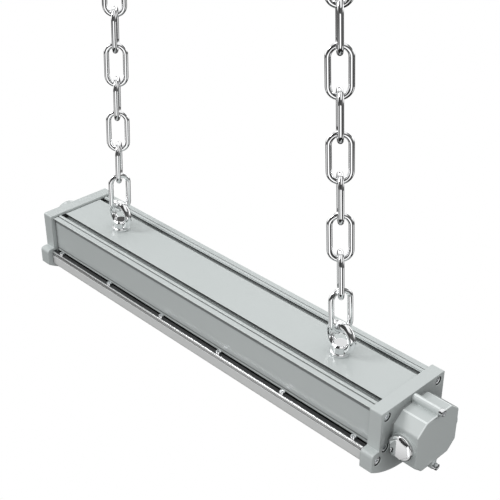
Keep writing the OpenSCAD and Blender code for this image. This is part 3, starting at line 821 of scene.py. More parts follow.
@dataclass(frozen=True)
class SocketScrew:
    """A cylinder head screw with a hexagon socket, its head standing on zero. Millimetres."""

    head_d: float
    head_h: float
    shank_d: float
    shank_l: float
    key: float
    edge: float = 0.35
    socket_floor: float = 0.45
    mouth_low: float = 0.9
    mouth_high: float = 1.25
    mouth_d: float = 0.25

    def shape(self) -> Shape:
        """Lathes the screw and sinks the socket with a countersunk mouth.

        Returns:
            The screw.
        """
        head, shank, top = self.head_d / 2, self.shank_d / 2, self.head_h
        soft = self.edge * 0.3
        screw = Shape.lathe([
            (0, -self.shank_l), (shank * 0.8, -self.shank_l), (shank, -self.shank_l + shank * 0.4),
            (shank, 0), (head, 0), (head, top - self.edge), (head - soft, top - soft),
            (head - self.edge, top), (0, top),
        ])
        corner = self.key / math.sqrt(3)
        screw.joined(Shape.prism(corner, top * self.socket_floor, top + 1, corners=6), Join.CARVE)
        mouth_r = corner * self.mouth_low
        mouth = Shape.prism(mouth_r, top - self.mouth_d * corner, top + 0.2, tip=corner * self.mouth_high)
        return screw.joined(mouth, Join.CARVE)


@dataclass
class Housing:
    """The aluminium extrusion, with channels, rails, lips and feet. Millimetres."""

    width: float = 108
    height: float = 59
    wall: float = 3
    lip_t: float = 1.8
    lip_over: float = 3
    foot_t: float = 2.5
    foot_in: float = 11
    slot_inset: float = 18.7
    slot_mouth: float = 7.2
    slot_lip: float = 2.5
    slot_w: float = 12
    slot_h: float = 5
    channel_t: float = 2.5
    rail_w: float = 5.6
    rail_rise: float = 0.8
    ledge_w: float = 1.4
    groove_w: float = 1.7
    groove_d: float = 0.8
    port_r: float = 4.5
    port_drop: float = 6.2
    low_port_r: float = 5
    bead_z: float = -56.5
    bead_h: float = 1.3
    bead_rise: float = 0.5
    line_h: float = 2.2
    line_d: float = 0.4
    shade_low: float = 7.6
    shade_high: float = 0.27
    lip_shade: tuple[float, float] = (0.6, 0.3)
    rim_clear: float = 0.2
    side_clear: float = 1
    gap_clear: float = 0.3
    end_clear: float = 1
    nose_t: float = 1.5
    gasket_t: float = 1.5
    thread_r: float = 3.1

    @property
    def side_y(self) -> float:
        """The side walls' distance from the middle."""
        return self.width / 2 - self.lip_over

    @property
    def slot_y(self) -> float:
        """The channels' distance from the middle."""
        return self.width / 2 - self.slot_inset

    def outline(self, datum: Datum) -> list[Corner]:
        """Half of the section, from the top's middle round the outside and back inside.

        Args:
            datum: The lamp's place.

        Returns:
            Corners of across, height and radius.
        """
        top = datum.seat_z
        foot = top - self.height
        lip_y, side_y, slot_y = self.width / 2, self.side_y, self.slot_y
        inner_y = side_y - self.wall
        mouth, cave = self.slot_mouth / 2, self.slot_w / 2
        lip_low, floor = top - self.slot_lip, top - self.slot_lip - self.slot_h
        ledge, rail_1 = slot_y + mouth, slot_y + mouth + self.rail_w
        rail_0 = ledge + self.ledge_w
        rail_top, groove_low = top + self.rail_rise, top - self.groove_d
        groove_1 = rail_1 + self.groove_w
        foot_top, toe, nose = foot + self.foot_t, side_y - self.foot_in, datum.rim_y - self.nose_t
        lip_z = top - self.lip_t
        port_y = side_y - 2 * self.low_port_r
        port_top = foot_top + 2 * self.low_port_r
        under = top - self.port_drop - self.port_r
        block_low, block_0 = floor - self.channel_t, slot_y - cave - self.channel_t
        block_1 = slot_y + cave + self.channel_t
        bead_top, bead_low = self.bead_z + self.bead_h, self.bead_z - self.bead_h
        line_top, line_y, bead_y = bead_top + self.line_h, side_y - self.line_d, side_y + self.bead_rise
        return both_halves([
            (slot_y - mouth, top, 0.35), (slot_y - mouth, lip_low, 0.2), (slot_y - cave, lip_low, 0),
            (slot_y - cave, floor, 0.5), (slot_y + cave, floor, 0.5), (slot_y + cave, lip_low, 0),
            (ledge, lip_low, 0.2), (ledge, groove_low, 0.2), (rail_0, groove_low, 0),
            (rail_0, rail_top, 0.9), (rail_1, rail_top, 0.9), (rail_1, groove_low, 0),
            (groove_1, groove_low, 0), (groove_1, top, 0.25), (lip_y, top, 0.6), (lip_y, lip_z, 1.1),
            (side_y, lip_z, 0.5), (side_y, top - self.shade_low, 0),
            (side_y, line_top, 0), (line_y, line_top, 0), (line_y, bead_top, 0),
            (bead_y, bead_top, 0.4), (bead_y, bead_low, 0.4), (side_y, bead_low, 0),
            (side_y, foot_top, 0), (nose, foot_top, 0.3), (nose, foot, 0.3),
            (toe, foot, 0.3), (toe, foot_top, 0.3), (port_y, foot_top, 0),
            (port_y, port_top, 4), (inner_y, port_top, 0.5), (inner_y, under, 0.5),
            (block_1, under, 1), (block_1, block_low, 0),
            (block_0, block_low, 1), (block_0, top - self.wall, 1),
        ])

    def build(self, bench: Bench) -> None:
        """Extrudes the section between the end gaskets.

        Args:
            bench: The bench.
        """
        top = bench.datum.seat_z
        low_z = top - self.height + self.foot_t + self.low_port_r
        ports = [(self.side_y - self.port_r, top - self.port_drop), (self.side_y - self.low_port_r, low_z)]
        holes = [(sign * y, z, self.thread_r) for y, z in ports for sign in (1, -1)]
        end = bench.datum.half_body - self.gasket_t
        shape = Shape.section(self.outline(bench.datum), -end, end, holes, arcs=3)
        piece = bench.place(shape, "housing", bench.finishes.paint)
        # Painted shade and painted shadow: darker paint on the lips, corners, grooves, channel floors and the
        # wall beside the clamp bar.
        for finish, test in (
            (bench.finishes.channel, self.on_lip), (bench.finishes.corner, self.in_shaded_corner),
            (bench.finishes.floor, self.on_shaded_floor), (bench.finishes.gap, self.by_bar_shadow),
        ):
            bench.repaint(piece, finish, lambda place: (
                abs(place.x) < end - self.end_clear and test(abs(place.y), place.z, top - place.z)
            ))

    def on_lip(self, across: float, _height: float, depth: float) -> bool:
        """Whether a face lies on a channel's lips, which get painted deep shade."""
        high, low = self.lip_shade
        return high < depth < self.slot_lip - low and abs(across - self.slot_y) < self.slot_mouth / 2 + NEAR

    def in_shaded_corner(self, across: float, height: float, depth: float) -> bool:
        """Whether a face lies under a side lip, above a bead, in a groove or on a channel's walls, where
        shade is painted.

        Args:
            across: Its distance from the middle.
            height: Its height from the lamp's top.
            depth: How far it lies below the housing's top.

        Returns:
            Whether it does.
        """
        groove_y = self.slot_y + self.slot_mouth / 2 + self.rail_w + self.groove_w / 2
        low = self.slot_lip + self.slot_h - self.rim_clear
        on_side = across > self.side_y - self.side_clear
        by_groove = abs(across - groove_y) < self.groove_w / 2 + NEAR
        under_lip = on_side and self.shade_high < depth < self.shade_low
        in_line = on_side and self.bead_h < height - self.bead_z < self.bead_h + self.line_h
        in_groove = by_groove and self.rim_clear < depth < self.groove_d + NEAR
        in_channel = self.slot_lip < depth < low and abs(across - self.slot_y) < self.slot_w / 2 + NEAR
        return under_lip or in_line or in_groove or in_channel

    def on_shaded_floor(self, across: float, _height: float, depth: float) -> bool:
        """Whether a face is a channel's floor, which gets painted shade."""
        floor = self.slot_lip + self.slot_h
        return abs(depth - floor) < NEAR and abs(across - self.slot_y) < self.slot_w / 2

    def by_bar_shadow(self, across: float, height: float, depth: float) -> bool:
        """Whether a face lies beside the clamp bar, where a shadow is painted.

        Args:
            across: Its distance from the middle.
            height: Its height from the lamp's top.
            depth: How far it lies below the housing's top.

        Returns:
            Whether it does.
        """
        above_foot = depth < self.height - self.foot_t + NEAR
        below_bead = height < self.bead_z - self.bead_h
        return above_foot and below_bead and across > self.side_y - self.gap_clear


@dataclass(frozen=True)
class PlateEnd:
    """One end of the lamp, and the painted shade on its plate round what stands there. Millimetres."""

    name: str
    side: int
    shade_z: float
    shade_r: float


@dataclass
class EndPlate:
    """A cast end plate with two ears and six sunk screws. Millimetres."""

    height: float = 100
    half_w: float = 57.5
    ear_drop: float = 53.5
    ear_over: float = 7.7
    arc_r: float = 120
    head_d: float = 10
    head_h: float = 6
    sunk: float = 1.5
    bore_play: float = 1.5
    edge: float = 0.7
    gasket_t: float = 1.5
    ear_screw: tuple[float, float] = (58.5, -67.0)
    upper_screw: tuple[float, float] = (46.5, -9.7)
    lower_screw: tuple[float, float] = (46.0, -55.0)
    shank: tuple[float, float] = (6, 20)
    ear_shank: tuple[float, float] = (4, 12)
    key: float = 5
    turn_step: float = 17
    arc_steps: int = 16
    ends: tuple[PlateEnd, ...] = (PlateEnd("left", -1, -35, 22), PlateEnd("right", 1, -45, 40))
    shade_w: float = 35

    def screw_places(self) -> list[tuple[float, float]]:
        """Across and height of the six screws."""
        trio = (self.upper_screw, self.lower_screw, self.ear_screw)
        return [(sign * y, z) for y, z in trio for sign in (1, -1)]

    def outline(self, datum: Datum) -> list[Corner]:
        """The plate's face, with its curved lower edge.

        Args:
            datum: The lamp's place.

        Returns:
            Corners of across, height and radius.
        """
        ear_y = datum.rim_y + self.ear_over
        centre = self.arc_r - self.height
        reach = math.asin(ear_y / self.arc_r)
        angles = [reach * (1 - k / self.arc_steps) for k in range(self.arc_steps)]
        arc = [(self.arc_r * math.sin(a), centre - self.arc_r * math.cos(a), 0) for a in angles]
        return both_halves([
            (self.half_w, 0, 2.0), (self.half_w, -self.ear_drop, 0.8), (ear_y, -self.ear_drop, 5.0), *arc,
        ])

    def build(self, bench: Bench) -> None:
        """Carves the counterbores, rounds the edges and mirrors the plate to the other end.

        Args:
            bench: The bench.
        """
        datum = bench.datum
        plate = Shape.section(self.outline(datum), datum.half_body, datum.plate_face, arcs=5)
        seat = datum.plate_face - self.head_h - self.sunk
        bore_r = self.head_d / 2 + self.bore_play / 2
        bore = Shape.prism(bore_r, seat, datum.plate_face + 1).aimed(Axis.ALONG)
        plate.joined(bore.with_copies([(0, y, z) for y, z in self.screw_places()]), Join.CARVE)
        plate.rounded(self.edge, 3)

        def in_bore(place: Vector) -> bool:
            """Whether a face lies in one of the counterbores, which get painted deep shade."""
            near = any(math.hypot(place.y - y, place.z - z) < bore_r + NEAR for y, z in self.screw_places())
            return near and seat - NEAR < abs(place.x) < datum.plate_face - self.edge

        for end in self.ends:
            piece = bench.place(
                plate.copy().mirrored(x=end.side), f"end_plate_{end.name}", bench.finishes.paint,
            )
            # Painted deep shade in the counterbores.
            bench.repaint(piece, bench.finishes.channel, in_bore)
            # Painted shade on the plate's outer face round the terminal box or the cap.
            shaded = replace(
                bench.finishes.plate_face, name=f"shaded_plate_coat_{end.name}",
                middle=(0.0, datum.top + end.shade_z), near=end.shade_r, far=end.shade_r + self.shade_w,
            )
            bench.repaint(piece, shaded, lambda place: abs(place.x) > datum.plate_face - NEAR / 2)
        screws = self.screws(seat, datum)
        bench.place(screws.copy().mirrored(x=-1), "plate_screws_left", bench.finishes.screw)
        bench.place(screws, "plate_screws_right", bench.finishes.screw)
        bench.dress(bench.finishes.rubber, "end_gasket_left", "end_gasket_right")

    def screws(self, seat: float, datum: Datum) -> Shape:
        """The plate's six screws, each with its socket turned its own way.

        Args:
            seat: Where the heads stand.
            datum: The lamp's place.

        Returns:
            The screws.
        """
        through = seat - datum.half_body + self.gasket_t
        group = Shape()
        for number, (y, z) in enumerate(self.screw_places()):
            shank_d, shank_in = self.ear_shank if abs(y) == self.ear_screw[0] else self.shank
            screw = SocketScrew(self.head_d, self.head_h, shank_d, through + shank_in, self.key).shape()
            group.add(screw.turned(self.turn_step * number, "Z").aimed(Axis.ALONG).moved(seat, y, z))
        return group


@dataclass
class LensUnit:
    """The frosted lens and its gasket. Millimetres."""

    gasket_z: float = -63.5
    depth: float = 33.5
    arc_r: float = 112
    wall: float = 3
    rim_w: float = 9.5
    rim_h: float = 8.5
    corner_r: float = 5
    gasket_t: float = 1.5
    face_steps: int = 14
    corner_steps: int = 5

    def half_outlines(self, datum: Datum) -> tuple[list[Corner], list[Corner]]:
        """Half of the section, down the outside and back up the inside.

        Args:
            datum: The lamp's place.

        Returns:
            Both runs, as corners of across, height and radius.
        """
        centre = self.gasket_z - self.depth + self.arc_r
        corner_y = datum.rim_y - self.corner_r
        corner_z = centre - math.sqrt((self.arc_r - self.corner_r) ** 2 - corner_y**2)
        lean = math.asin(corner_y / (self.arc_r - self.corner_r))
        face = [lean * (1 - k / self.face_steps) for k in range(self.face_steps)]
        quarter = math.pi / 2
        turn = [quarter + (lean - quarter) * k / self.corner_steps for k in range(self.corner_steps)]

        def round_corner(radius: float) -> list[Corner]:
            """The corner's arc at a distance from its centre."""
            return [(corner_y + radius * math.sin(a), corner_z - radius * math.cos(a), 0) for a in turn]

        def curved_face(radius: float, angles: Sequence[float]) -> list[Corner]:
            """The shallow curved face."""
            return [(radius * math.sin(a), centre - radius * math.cos(a), 0) for a in angles]

        inner = self.corner_r - self.wall
        outside = [*round_corner(self.corner_r), *curved_face(self.arc_r, face)]
        inside = [*round_corner(inner), *curved_face(self.arc_r - self.wall, face)]
        rim_in = datum.rim_y - self.rim_w
        rim_low = self.gasket_z - self.rim_h
        wall_in = datum.rim_y - self.wall
        down = [(rim_in, self.gasket_z, 0.4), (datum.rim_y, self.gasket_z, 0.5), *outside]
        up = [*reversed(inside), (wall_in, rim_low, 0.4), (rim_in, rim_low, 0.5)]
        return down, up

    def build(self, bench: Bench) -> None:
        """Extrudes the lens as one closed trough.

        Args:
            bench: The bench.
        """
        down, up = self.half_outlines(bench.datum)
        left = [(-y, z, r) for y, z, r in reversed(down)]
        back = [(-y, z, r) for y, z, r in reversed(up)]
        bottom = self.gasket_z - self.depth
        end = bench.datum.half_body - self.gasket_t
        section = [*down, (0, bottom, 0), *left, *back, (0, bottom + self.wall, 0), *up]
        bench.place(Shape.section(section, -end, end), "lens", bench.finishes.lens)
        bench.dress(bench.finishes.rubber, "lens_gasket")


@dataclass
class EdgeStrips:
    """The black clamp bars, the polished trims outside them and their screws. Millimetres."""

    foot_z: float = -62.5
    foot_t: float = 2.5
    bar_y: float = 54.4
    bar_t: float = 2
    shade_w: float = 0.6
    shade_d: float = 0.45
    # Height of the trim's painted shade band and of the painted shadow line above it.
    band_h: float = 2.7
    line_h: float = 0.8
    tongue_t: float = 1
    nose_t: float = 1.5
    end_gap: float = 0.3
    screw_inset: float = 4
    tongue_in: float = 1.7
    screws: int = 6
    first_screw: float = 20
    screw: SocketScrew = SocketScrew(7, 3.8, 4, 13, 3)
    turn_step: float = 23

    def build(self, bench: Bench) -> None:
        """Makes the back strips and mirrors them to the front.

        Args:
            bench: The bench.
        """
        datum = bench.datum
        end = datum.half_body - self.end_gap
        nose_in = datum.rim_y - self.nose_t
        bar_low = self.foot_z + self.foot_t + self.tongue_t
        bar_top = bar_low + self.bar_t
        bar = Shape.section([
            (self.bar_y, bar_low, 0.2), (nose_in, bar_low, 0.2), (nose_in, bar_top, 0.4),
            (self.bar_y + self.shade_w, bar_top, 0), (self.bar_y, bar_top, 0.4),
        ], -end, end)
        step = bar_top - self.band_h
        tongue_0 = self.bar_y + self.tongue_in
        tongue_low = bar_low - self.tongue_t
        trim = Shape.section([
            (tongue_0, tongue_low, 0.1), (nose_in, tongue_low, 0), (nose_in, self.foot_z, 0.3),
            (datum.rim_y, self.foot_z, 0.5), (datum.rim_y, step - self.line_h, 0), (datum.rim_y, step, 0),
            (datum.rim_y, bar_top, 0.6), (nose_in, bar_top, 0.3), (nose_in, bar_low, 0),
            (tongue_0, bar_low, 0.1),
        ], -end, end)
        reach = datum.half_body - self.first_screw
        pitch = 2 * reach / (self.screws - 1)
        places = [(-reach + k * pitch, datum.rim_y - self.screw_inset, bar_top) for k in range(self.screws)]
        row = Shape()
        for number, place in enumerate(places):
            row.add(self.screw.shape().turned(self.turn_step * number, "Z").moved(*place))

        def in_wall_shadow(place: Vector) -> bool:
            """Whether a face of the bar lies in the painted shadow line along the housing's wall."""
            across, depth = abs(place.y), bar_top - place.z
            return across < self.bar_y + self.shade_w - NEAR and depth < self.shade_d

        for side, flip in (("back", 1), ("front", -1)):
            strip = bench.place(bar.copy().mirrored(y=flip), f"clamp_bar_{side}", bench.finishes.bar)
            # Painted shadow on the bar's inner top strip.
            bench.repaint(strip, bench.finishes.gap, in_wall_shadow)
            strip = bench.place(trim.copy().mirrored(y=flip), f"edge_trim_{side}", bench.finishes.trim)
            # Painted shade on the trim's lower band, and a painted shadow line across its flat face.
            bench.repaint(strip, bench.finishes.trim_face, lambda place: place.z < step)
            bench.repaint(strip, bench.finishes.gap, lambda place: step - self.line_h < place.z < step)
            bench.place(row.copy().mirrored(y=flip), f"clamp_screws_{side}", bench.finishes.screw)


@dataclass
class TerminalBox:
    """The terminal cover with its ribs and entries, its screws and the front plug. Millimetres."""

    length: float = 37
    half_w: float = 38
    top_half: float = 22.4
    bottom_half: float = 24.5
    top: float = -10.3
    bottom: float = -80
    slope_top: float = 12.7
    slope_bottom: float = 12
    wall: float = 3
    gasket_t: float = 1.5
    gasket_inset: float = 0.8
    rib_r: float = 5
    rib_rise: float = 3.8
    rib_drop: float = 6
    entry_z: float = -44.5
    entry_r: float = 11.75
    seat_r: float = 17
    seat_h: float = 3
    washer_t: float = 1.5
    flange_r: float = 16.2
    flange_t: float = 2.5
    hex_w: float = 24
    hex_h: float = 2.5
    hex_turn: float = 18
    hex_edge: float = 0.35
    flange_edge: float = 1.1
    flange_soft: float = 0.4
    neck_play: float = 0.05
    neck_over: float = 4
    # Where the painted highlight lies on the cover's end edge, shoulders and rib crest.
    bright_end: tuple[float, float] = (1.4, 0.15)
    bright_shoulder: tuple[float, float] = (1.0, 0.9)
    bright_crest: tuple[float, float] = (-2.4, -0.3)
    edge: float = 1.6
    inner_edge: float = 0.8
    web_share: float = 0.9
    web_play: float = 0.3
    screw: SocketScrew = SocketScrew(8.5, 5, 5, 49, 4)
    first_turn: float = 25
    turn_step: float = 30

    def outline(self, inset: float, radius: float) -> list[Corner]:
        """The box's eight-sided section, drawn in by an inset.

        Args:
            inset: How far it is drawn in.
            radius: The radius of its corners.

        Returns:
            Corners of across, height and radius.
        """
        slant = inset * 0.42
        return both_halves([
            (self.top_half - slant, self.top - inset, radius),
            (self.half_w - inset, self.top - self.slope_top - slant, radius),
            (self.half_w - inset, self.bottom + self.slope_bottom + slant, radius),
            (self.bottom_half - slant, self.bottom + inset, radius),
        ])

    def rib(self, high: float, low: float, start: float, end: float) -> Shape:
        """A screw rib: a round bead on a short neck between two heights.

        Args:
            high: The neck's upper height, the bead's middle on the top rib.
            low: The neck's lower height, the bead's middle on the bottom rib.
            start: Where it starts along the lamp.
            end: Where it ends.

        Returns:
            The rib.
        """
        rib = Shape.prism(self.rib_r, start, end, corners=40).aimed(Axis.ALONG)
        rib.moved(0, 0, high if high > self.top else low)
        web = Shape.section(slab(self.rib_r * self.web_share, low, high), start, end)
        return rib.joined(web, Join.FUSE)

    def build(self, bench: Bench) -> None:
        """Fuses the cover's forms, hollows them and adds the screws and the plug.

        Args:
            bench: The bench.
        """
        face = bench.datum.plate_face
        start, end = face + self.gasket_t, face + self.length
        middle = (start + end) / 2 - self.gasket_t / 2
        top_rib, low_rib = self.top + self.rib_rise, self.bottom - self.rib_drop
        cover = Shape.section(self.outline(0, self.edge), start, end)
        cover.rounded(self.edge, 3, over=70)
        cover.joined(self.rib(top_rib, self.top - self.wall / 2, face, end), Join.FUSE)
        cover.joined(self.rib(self.bottom + self.wall / 2, low_rib, face, end), Join.FUSE)
        reach = self.half_w + self.seat_h
        seat = Shape.prism(self.seat_r, -reach, reach, corners=64).aimed(Axis.BACK)
        cover.joined(seat.moved(middle, 0, self.entry_z), Join.FUSE)
        room = Shape.section(self.outline(self.wall, self.inner_edge), start - 1, end - self.wall)
        cover.joined(room, Join.CARVE)
        bore = Shape.prism(self.entry_r, -reach - 1, reach + 1, corners=64).aimed(Axis.BACK)
        cover.joined(bore.moved(middle, 0, self.entry_z), Join.CARVE)
        cover.rounded(0.6, 2, over=40)
        piece = bench.place(cover, "terminal_cover", bench.finishes.paint)

        def in_painted_highlight(place: Vector) -> bool:
            """Whether a face lies on a rounded edge or on the rib's crest, where a highlight is painted.

            Args:
                place: The face's middle.

            Returns:
                Whether it does.
            """
            inner, outer = self.bright_end
            wide, deep = self.bright_shoulder
            front, back = self.bright_crest
            round_end = end - inner < place.x < end - outer and place.z > self.entry_z
            shoulder = abs(abs(place.y) - self.top_half) < wide and abs(place.z - self.top) < deep
            crest = front < place.y < back and place.z > top_rib + self.rib_r - deep
            return round_end or shoulder or crest

        # Painted highlight: lighter paint on the edges and crest stands in for the light they catch.
        bench.repaint(piece, bench.finishes.edge, in_painted_highlight)
        screws = Shape()
        for number, height in enumerate((top_rib, low_rib)):
            screw = self.screw.shape().turned(self.first_turn + self.turn_step * number, "Z")
            screws.add(screw.aimed(Axis.ALONG).moved(end, 0, height))
        bench.place(screws, "cover_screws", bench.finishes.screw)
        self.build_plug(bench, middle, reach)
        self.build_gasket(bench, face, start)
        bench.dress(bench.finishes.grey_rubber, "plug_washer")
        bench.dress(bench.finishes.rubber, "cable_bushing")
        bench.dress(bench.finishes.block, "terminal_block")
        bench.dress(bench.finishes.plain, "terminal_screws")
        bench.dress(bench.finishes.jacket, "mains_lead")

    def build_gasket(self, bench: Bench, start: float, end: float) -> None:
        """Cuts the cover's gasket, drawn in a little behind its edge.

        Args:
            bench: The bench.
            start: The plate's face.
            end: The cover's edge.
        """
        gasket = Shape.section(self.outline(self.gasket_inset, self.inner_edge), start, end)
        room = Shape.section(self.outline(self.wall + 1, self.inner_edge), start - 1, end + 1)
        gasket.joined(room, Join.CARVE)
        half_w = self.rib_r * self.web_share + self.web_play
        clear = self.wall / 2 + self.web_play
        for high, low in ((0, self.top - clear), (self.bottom + clear, -100)):
            gasket.joined(Shape.section(slab(half_w, low, high), start - 1, end + 1), Join.CARVE)
        bench.place(gasket, "terminal_gasket", bench.finishes.grey_rubber)

    def build_plug(self, bench: Bench, middle: float, reach: float) -> None:
        """Lathes the plug's flange and neck and puts a chamfered hexagon on it.

        Args:
            bench: The bench.
            middle: The entry's place along the lamp.
            reach: The seat's distance from the lamp's middle plane.
        """
        neck = self.entry_r - self.neck_play
        tail = -self.washer_t - self.seat_h - self.wall - self.neck_over
        flange, thick = self.flange_r, self.flange_t
        edge, soft, corner = self.flange_edge, self.flange_soft, self.hex_edge
        plug = Shape.lathe([
            (0, tail), (neck - 1, tail), (neck, tail + 1), (neck, 0), (flange - soft, 0), (flange, soft),
            (flange, thick - edge), (flange - corner, thick - corner), (flange - edge, thick), (0, thick),
        ], steps=64)
        nut = Shape.prism(self.hex_w / math.sqrt(3), thick - 1, thick + self.hex_h, corners=6)
        plug.joined(nut.turned(30 - self.hex_turn, "Z").rounded(self.hex_edge, 2), Join.FUSE)
        plug.aimed(Axis.FRONT).moved(middle, -reach - self.washer_t, self.entry_z)
        bench.place(plug, "blanking_plug", bench.finishes.plug)


@dataclass
class LeftCap:
    """The round cap on the left plate. Millimetres."""

    radius: float = 23
    length: float = 27.5
    height: float = -35
    ring_t: float = 1.5
    neck_r: float = 16
    neck_l: float = 15.5
    neck_wall: float = 4
    floor_t: float = 5
    rim: float = 3
    groove: tuple[float, float, float, float] = (8, 7.2, 5.8, 5)
    groove_d: float = 0.8
    edge: float = 0.5

    def build(self, bench: Bench) -> None:
        """Lathes the cap with a grooved skirt and a hollow neck.

        Args:
            bench: The bench.
        """
        r, end, neck, hollow = self.radius, self.length, self.neck_r, self.neck_r - self.neck_wall
        floor, groove_r = end - self.floor_t, r - self.groove_d
        cap = Shape.lathe([
            (0, end), (r - self.rim, end), (r, end - self.rim),
            *zip((r, groove_r, groove_r, r), self.groove), (r, 0), (neck, 0),
            (neck, -self.neck_l), (hollow, -self.neck_l), (hollow, floor), (0, floor),
        ], steps=72)
        cap.rounded(self.edge, 2, over=40).aimed(Axis.ALONG)
        cap.moved(bench.datum.plate_face + self.ring_t, 0, self.height).mirrored(x=-1)
        bench.place(cap, "left_end_cap", bench.finishes.paint)
        bench.dress(bench.finishes.rubber, "left_cap_ring")


@dataclass
class LiftingEyes:
    """The two eye nuts and the hardware that holds them. Millimetres."""

    outer_d: float = 45
    wire: float = 10
    collar_d: float = 25
    collar_h: float = 3.5
    hub_d: float = 21
    hub_h: float = 15
    edge: float = 0.8
    chamfer: float = 2.2
    foot_edge: float = 0.3
    voxel: float = 0.4

    def nut(self) -> Shape:
        """Spins the ring, lathes the collar and hub and melts them together.

        Returns:
            The nut, standing on the origin.
        """
        middle_r = (self.outer_d - self.wire) / 2
        ring = Shape()
        bmesh.ops.create_circle(
            ring.bm, segments=32, radius=self.wire / 2, matrix=Matrix.Translation((middle_r, 0, 0)),
        )
        bmesh.ops.spin(
            ring.bm, geom=ring.bm.verts[:] + ring.bm.edges[:], cent=(0, 0, 0), axis=(0, 1, 0),
            angle=math.tau, steps=72, use_merge=True,
        )
        ring.mended().moved(0, 0, self.outer_d / 2)
        ring.joined(Shape.prism(self.outer_d, self.wire * 0.5, 2 * self.outer_d, corners=8), Join.KEEP)
        foot, hub = self.collar_d / 2, self.hub_d / 2
        base = Shape.lathe([
            (0, 0), (foot - self.foot_edge, 0), (foot, self.foot_edge),
            (foot, self.collar_h - self.edge / 2),
            (foot - self.edge / 2, self.collar_h), (hub, self.collar_h), (hub, self.hub_h - self.chamfer),
            (hub - self.chamfer, self.hub_h), (0, self.hub_h),
        ])
        return ring.add(base).melted(self.voxel, 4)

    def build(self, bench: Bench) -> None:
        """Puts a nut at each side and dresses the stud, plate and nut below it.

        Args:
            bench: The bench.
        """
        nut = self.nut()
        for side in SIDES:
            low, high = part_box(f"eye_nut_{side}")
            twin = nut.copy().moved((low.x + high.x) / 2 / MM, 0, low.z / MM - bench.datum.top)
            bench.place(twin, f"eye_nut_{side}", bench.finishes.polished)
        bench.dress(bench.finishes.plain, "eye_studs", "stud_plates", "stud_nuts")


@dataclass
class Chains:
    """The two link chains. Millimetres and degrees."""

    links: int = 9
    wire: float = 7
    inside_l: float = 49.3
    inside_w: float = 18
    first_turn: float = 22
    odd_turn: float = 44.4
    sides: int = 28
    bend_steps: int = 28

    def link(self) -> Shape:
        """Sweeps the wire up one leg, over the crown, down the other leg and back.

        Returns:
            The link, upright round the origin.
        """
        bend_r = (self.inside_w + self.wire) / 2
        leg = (self.inside_l - self.inside_w) / 2
        shape = Shape()
        foot = Matrix.Translation((0, -bend_r, -leg))
        start = bmesh.ops.create_circle(
            shape.bm, segments=self.sides, radius=self.wire / 2, matrix=foot,
        )["verts"]
        edges = list({e for v in start for e in v.link_edges})
        for way in (1, -1):
            grown = bmesh.ops.extrude_edge_only(shape.bm, edges=edges)["geom"]
            verts = only(bmesh.types.BMVert, grown)
            bmesh.ops.translate(shape.bm, verts=verts, vec=(0, 0, 2 * leg * way))
            edges = only(bmesh.types.BMEdge, grown)
            ring = bmesh.ops.spin(
                shape.bm, geom=verts + edges, cent=(0, 0, leg * way), axis=(1, 0, 0), angle=-math.pi,
                steps=self.bend_steps, use_duplicate=False,
            )["geom_last"]
            edges = only(bmesh.types.BMEdge, ring)
        return shape.mended()

    def turn_of(self, number: int) -> float:
        """How far a link is turned, the first being the lowest.

        Args:
            number: The link's number from below.

        Returns:
            The turn in degrees.
        """
        if number == 1:
            return self.first_turn
        return self.odd_turn - (0 if number % 2 else 90)

    def build(self, bench: Bench) -> None:
        """Hangs a link in the place of each link node.

        Args:
            bench: The bench.
        """
        for side in SIDES:
            nodes = [f"chain_{side}_link_{number + 1}" for number in range(self.links)]
            middles = [sum(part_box(node), Vector()) / 2 / MM for node in nodes]
            run = middles[-1] - middles[0]
            lean = math.degrees(math.atan2(run.x, run.z))
            for number, (node, middle) in enumerate(zip(nodes, middles), start=1):
                link = self.link().turned(-self.turn_of(number), "Z").turned(lean, "Y")
                bench.place(link.moved(middle.x, middle.y, 0), node, bench.finishes.chain, height=middle.z)


@dataclass
class InnerParts:
    """The light tray, boards and driver, which keep their own shapes."""

    def build(self, bench: Bench) -> None:
        """Dresses what is sealed inside.

        Args:
            bench: The bench.
        """
        finishes = bench.finishes
        bench.dress(finishes.tray, "light_tray")
        bench.dress(finishes.plain, "tray_screws", "board_screws", "driver_screws")
        bench.dress(finishes.board, "led_boards")
        bench.dress(finishes.chip, "led_chips")
        bench.dress(finishes.driver, "driver")
        bench.dress(finishes.jacket, "led_lead")


@dataclass(frozen=True)
class Card:
    """A bright or dark card round the lamp that only reflections show. Degrees from the camera's side."""

    azimuth: float
    half_width: float
    level: float
    low: float = -1.0
    high: float = 1.0
    edge: float = 6.0
    fade: float = 0.08


@dataclass(frozen=True)
class SoftLight:
    """A square light, its heights from the lamp's top. Metres and watts."""

    name: str
    place: Corner
    aim: Corner
    size: float
    power: float
    mirrored: bool = True


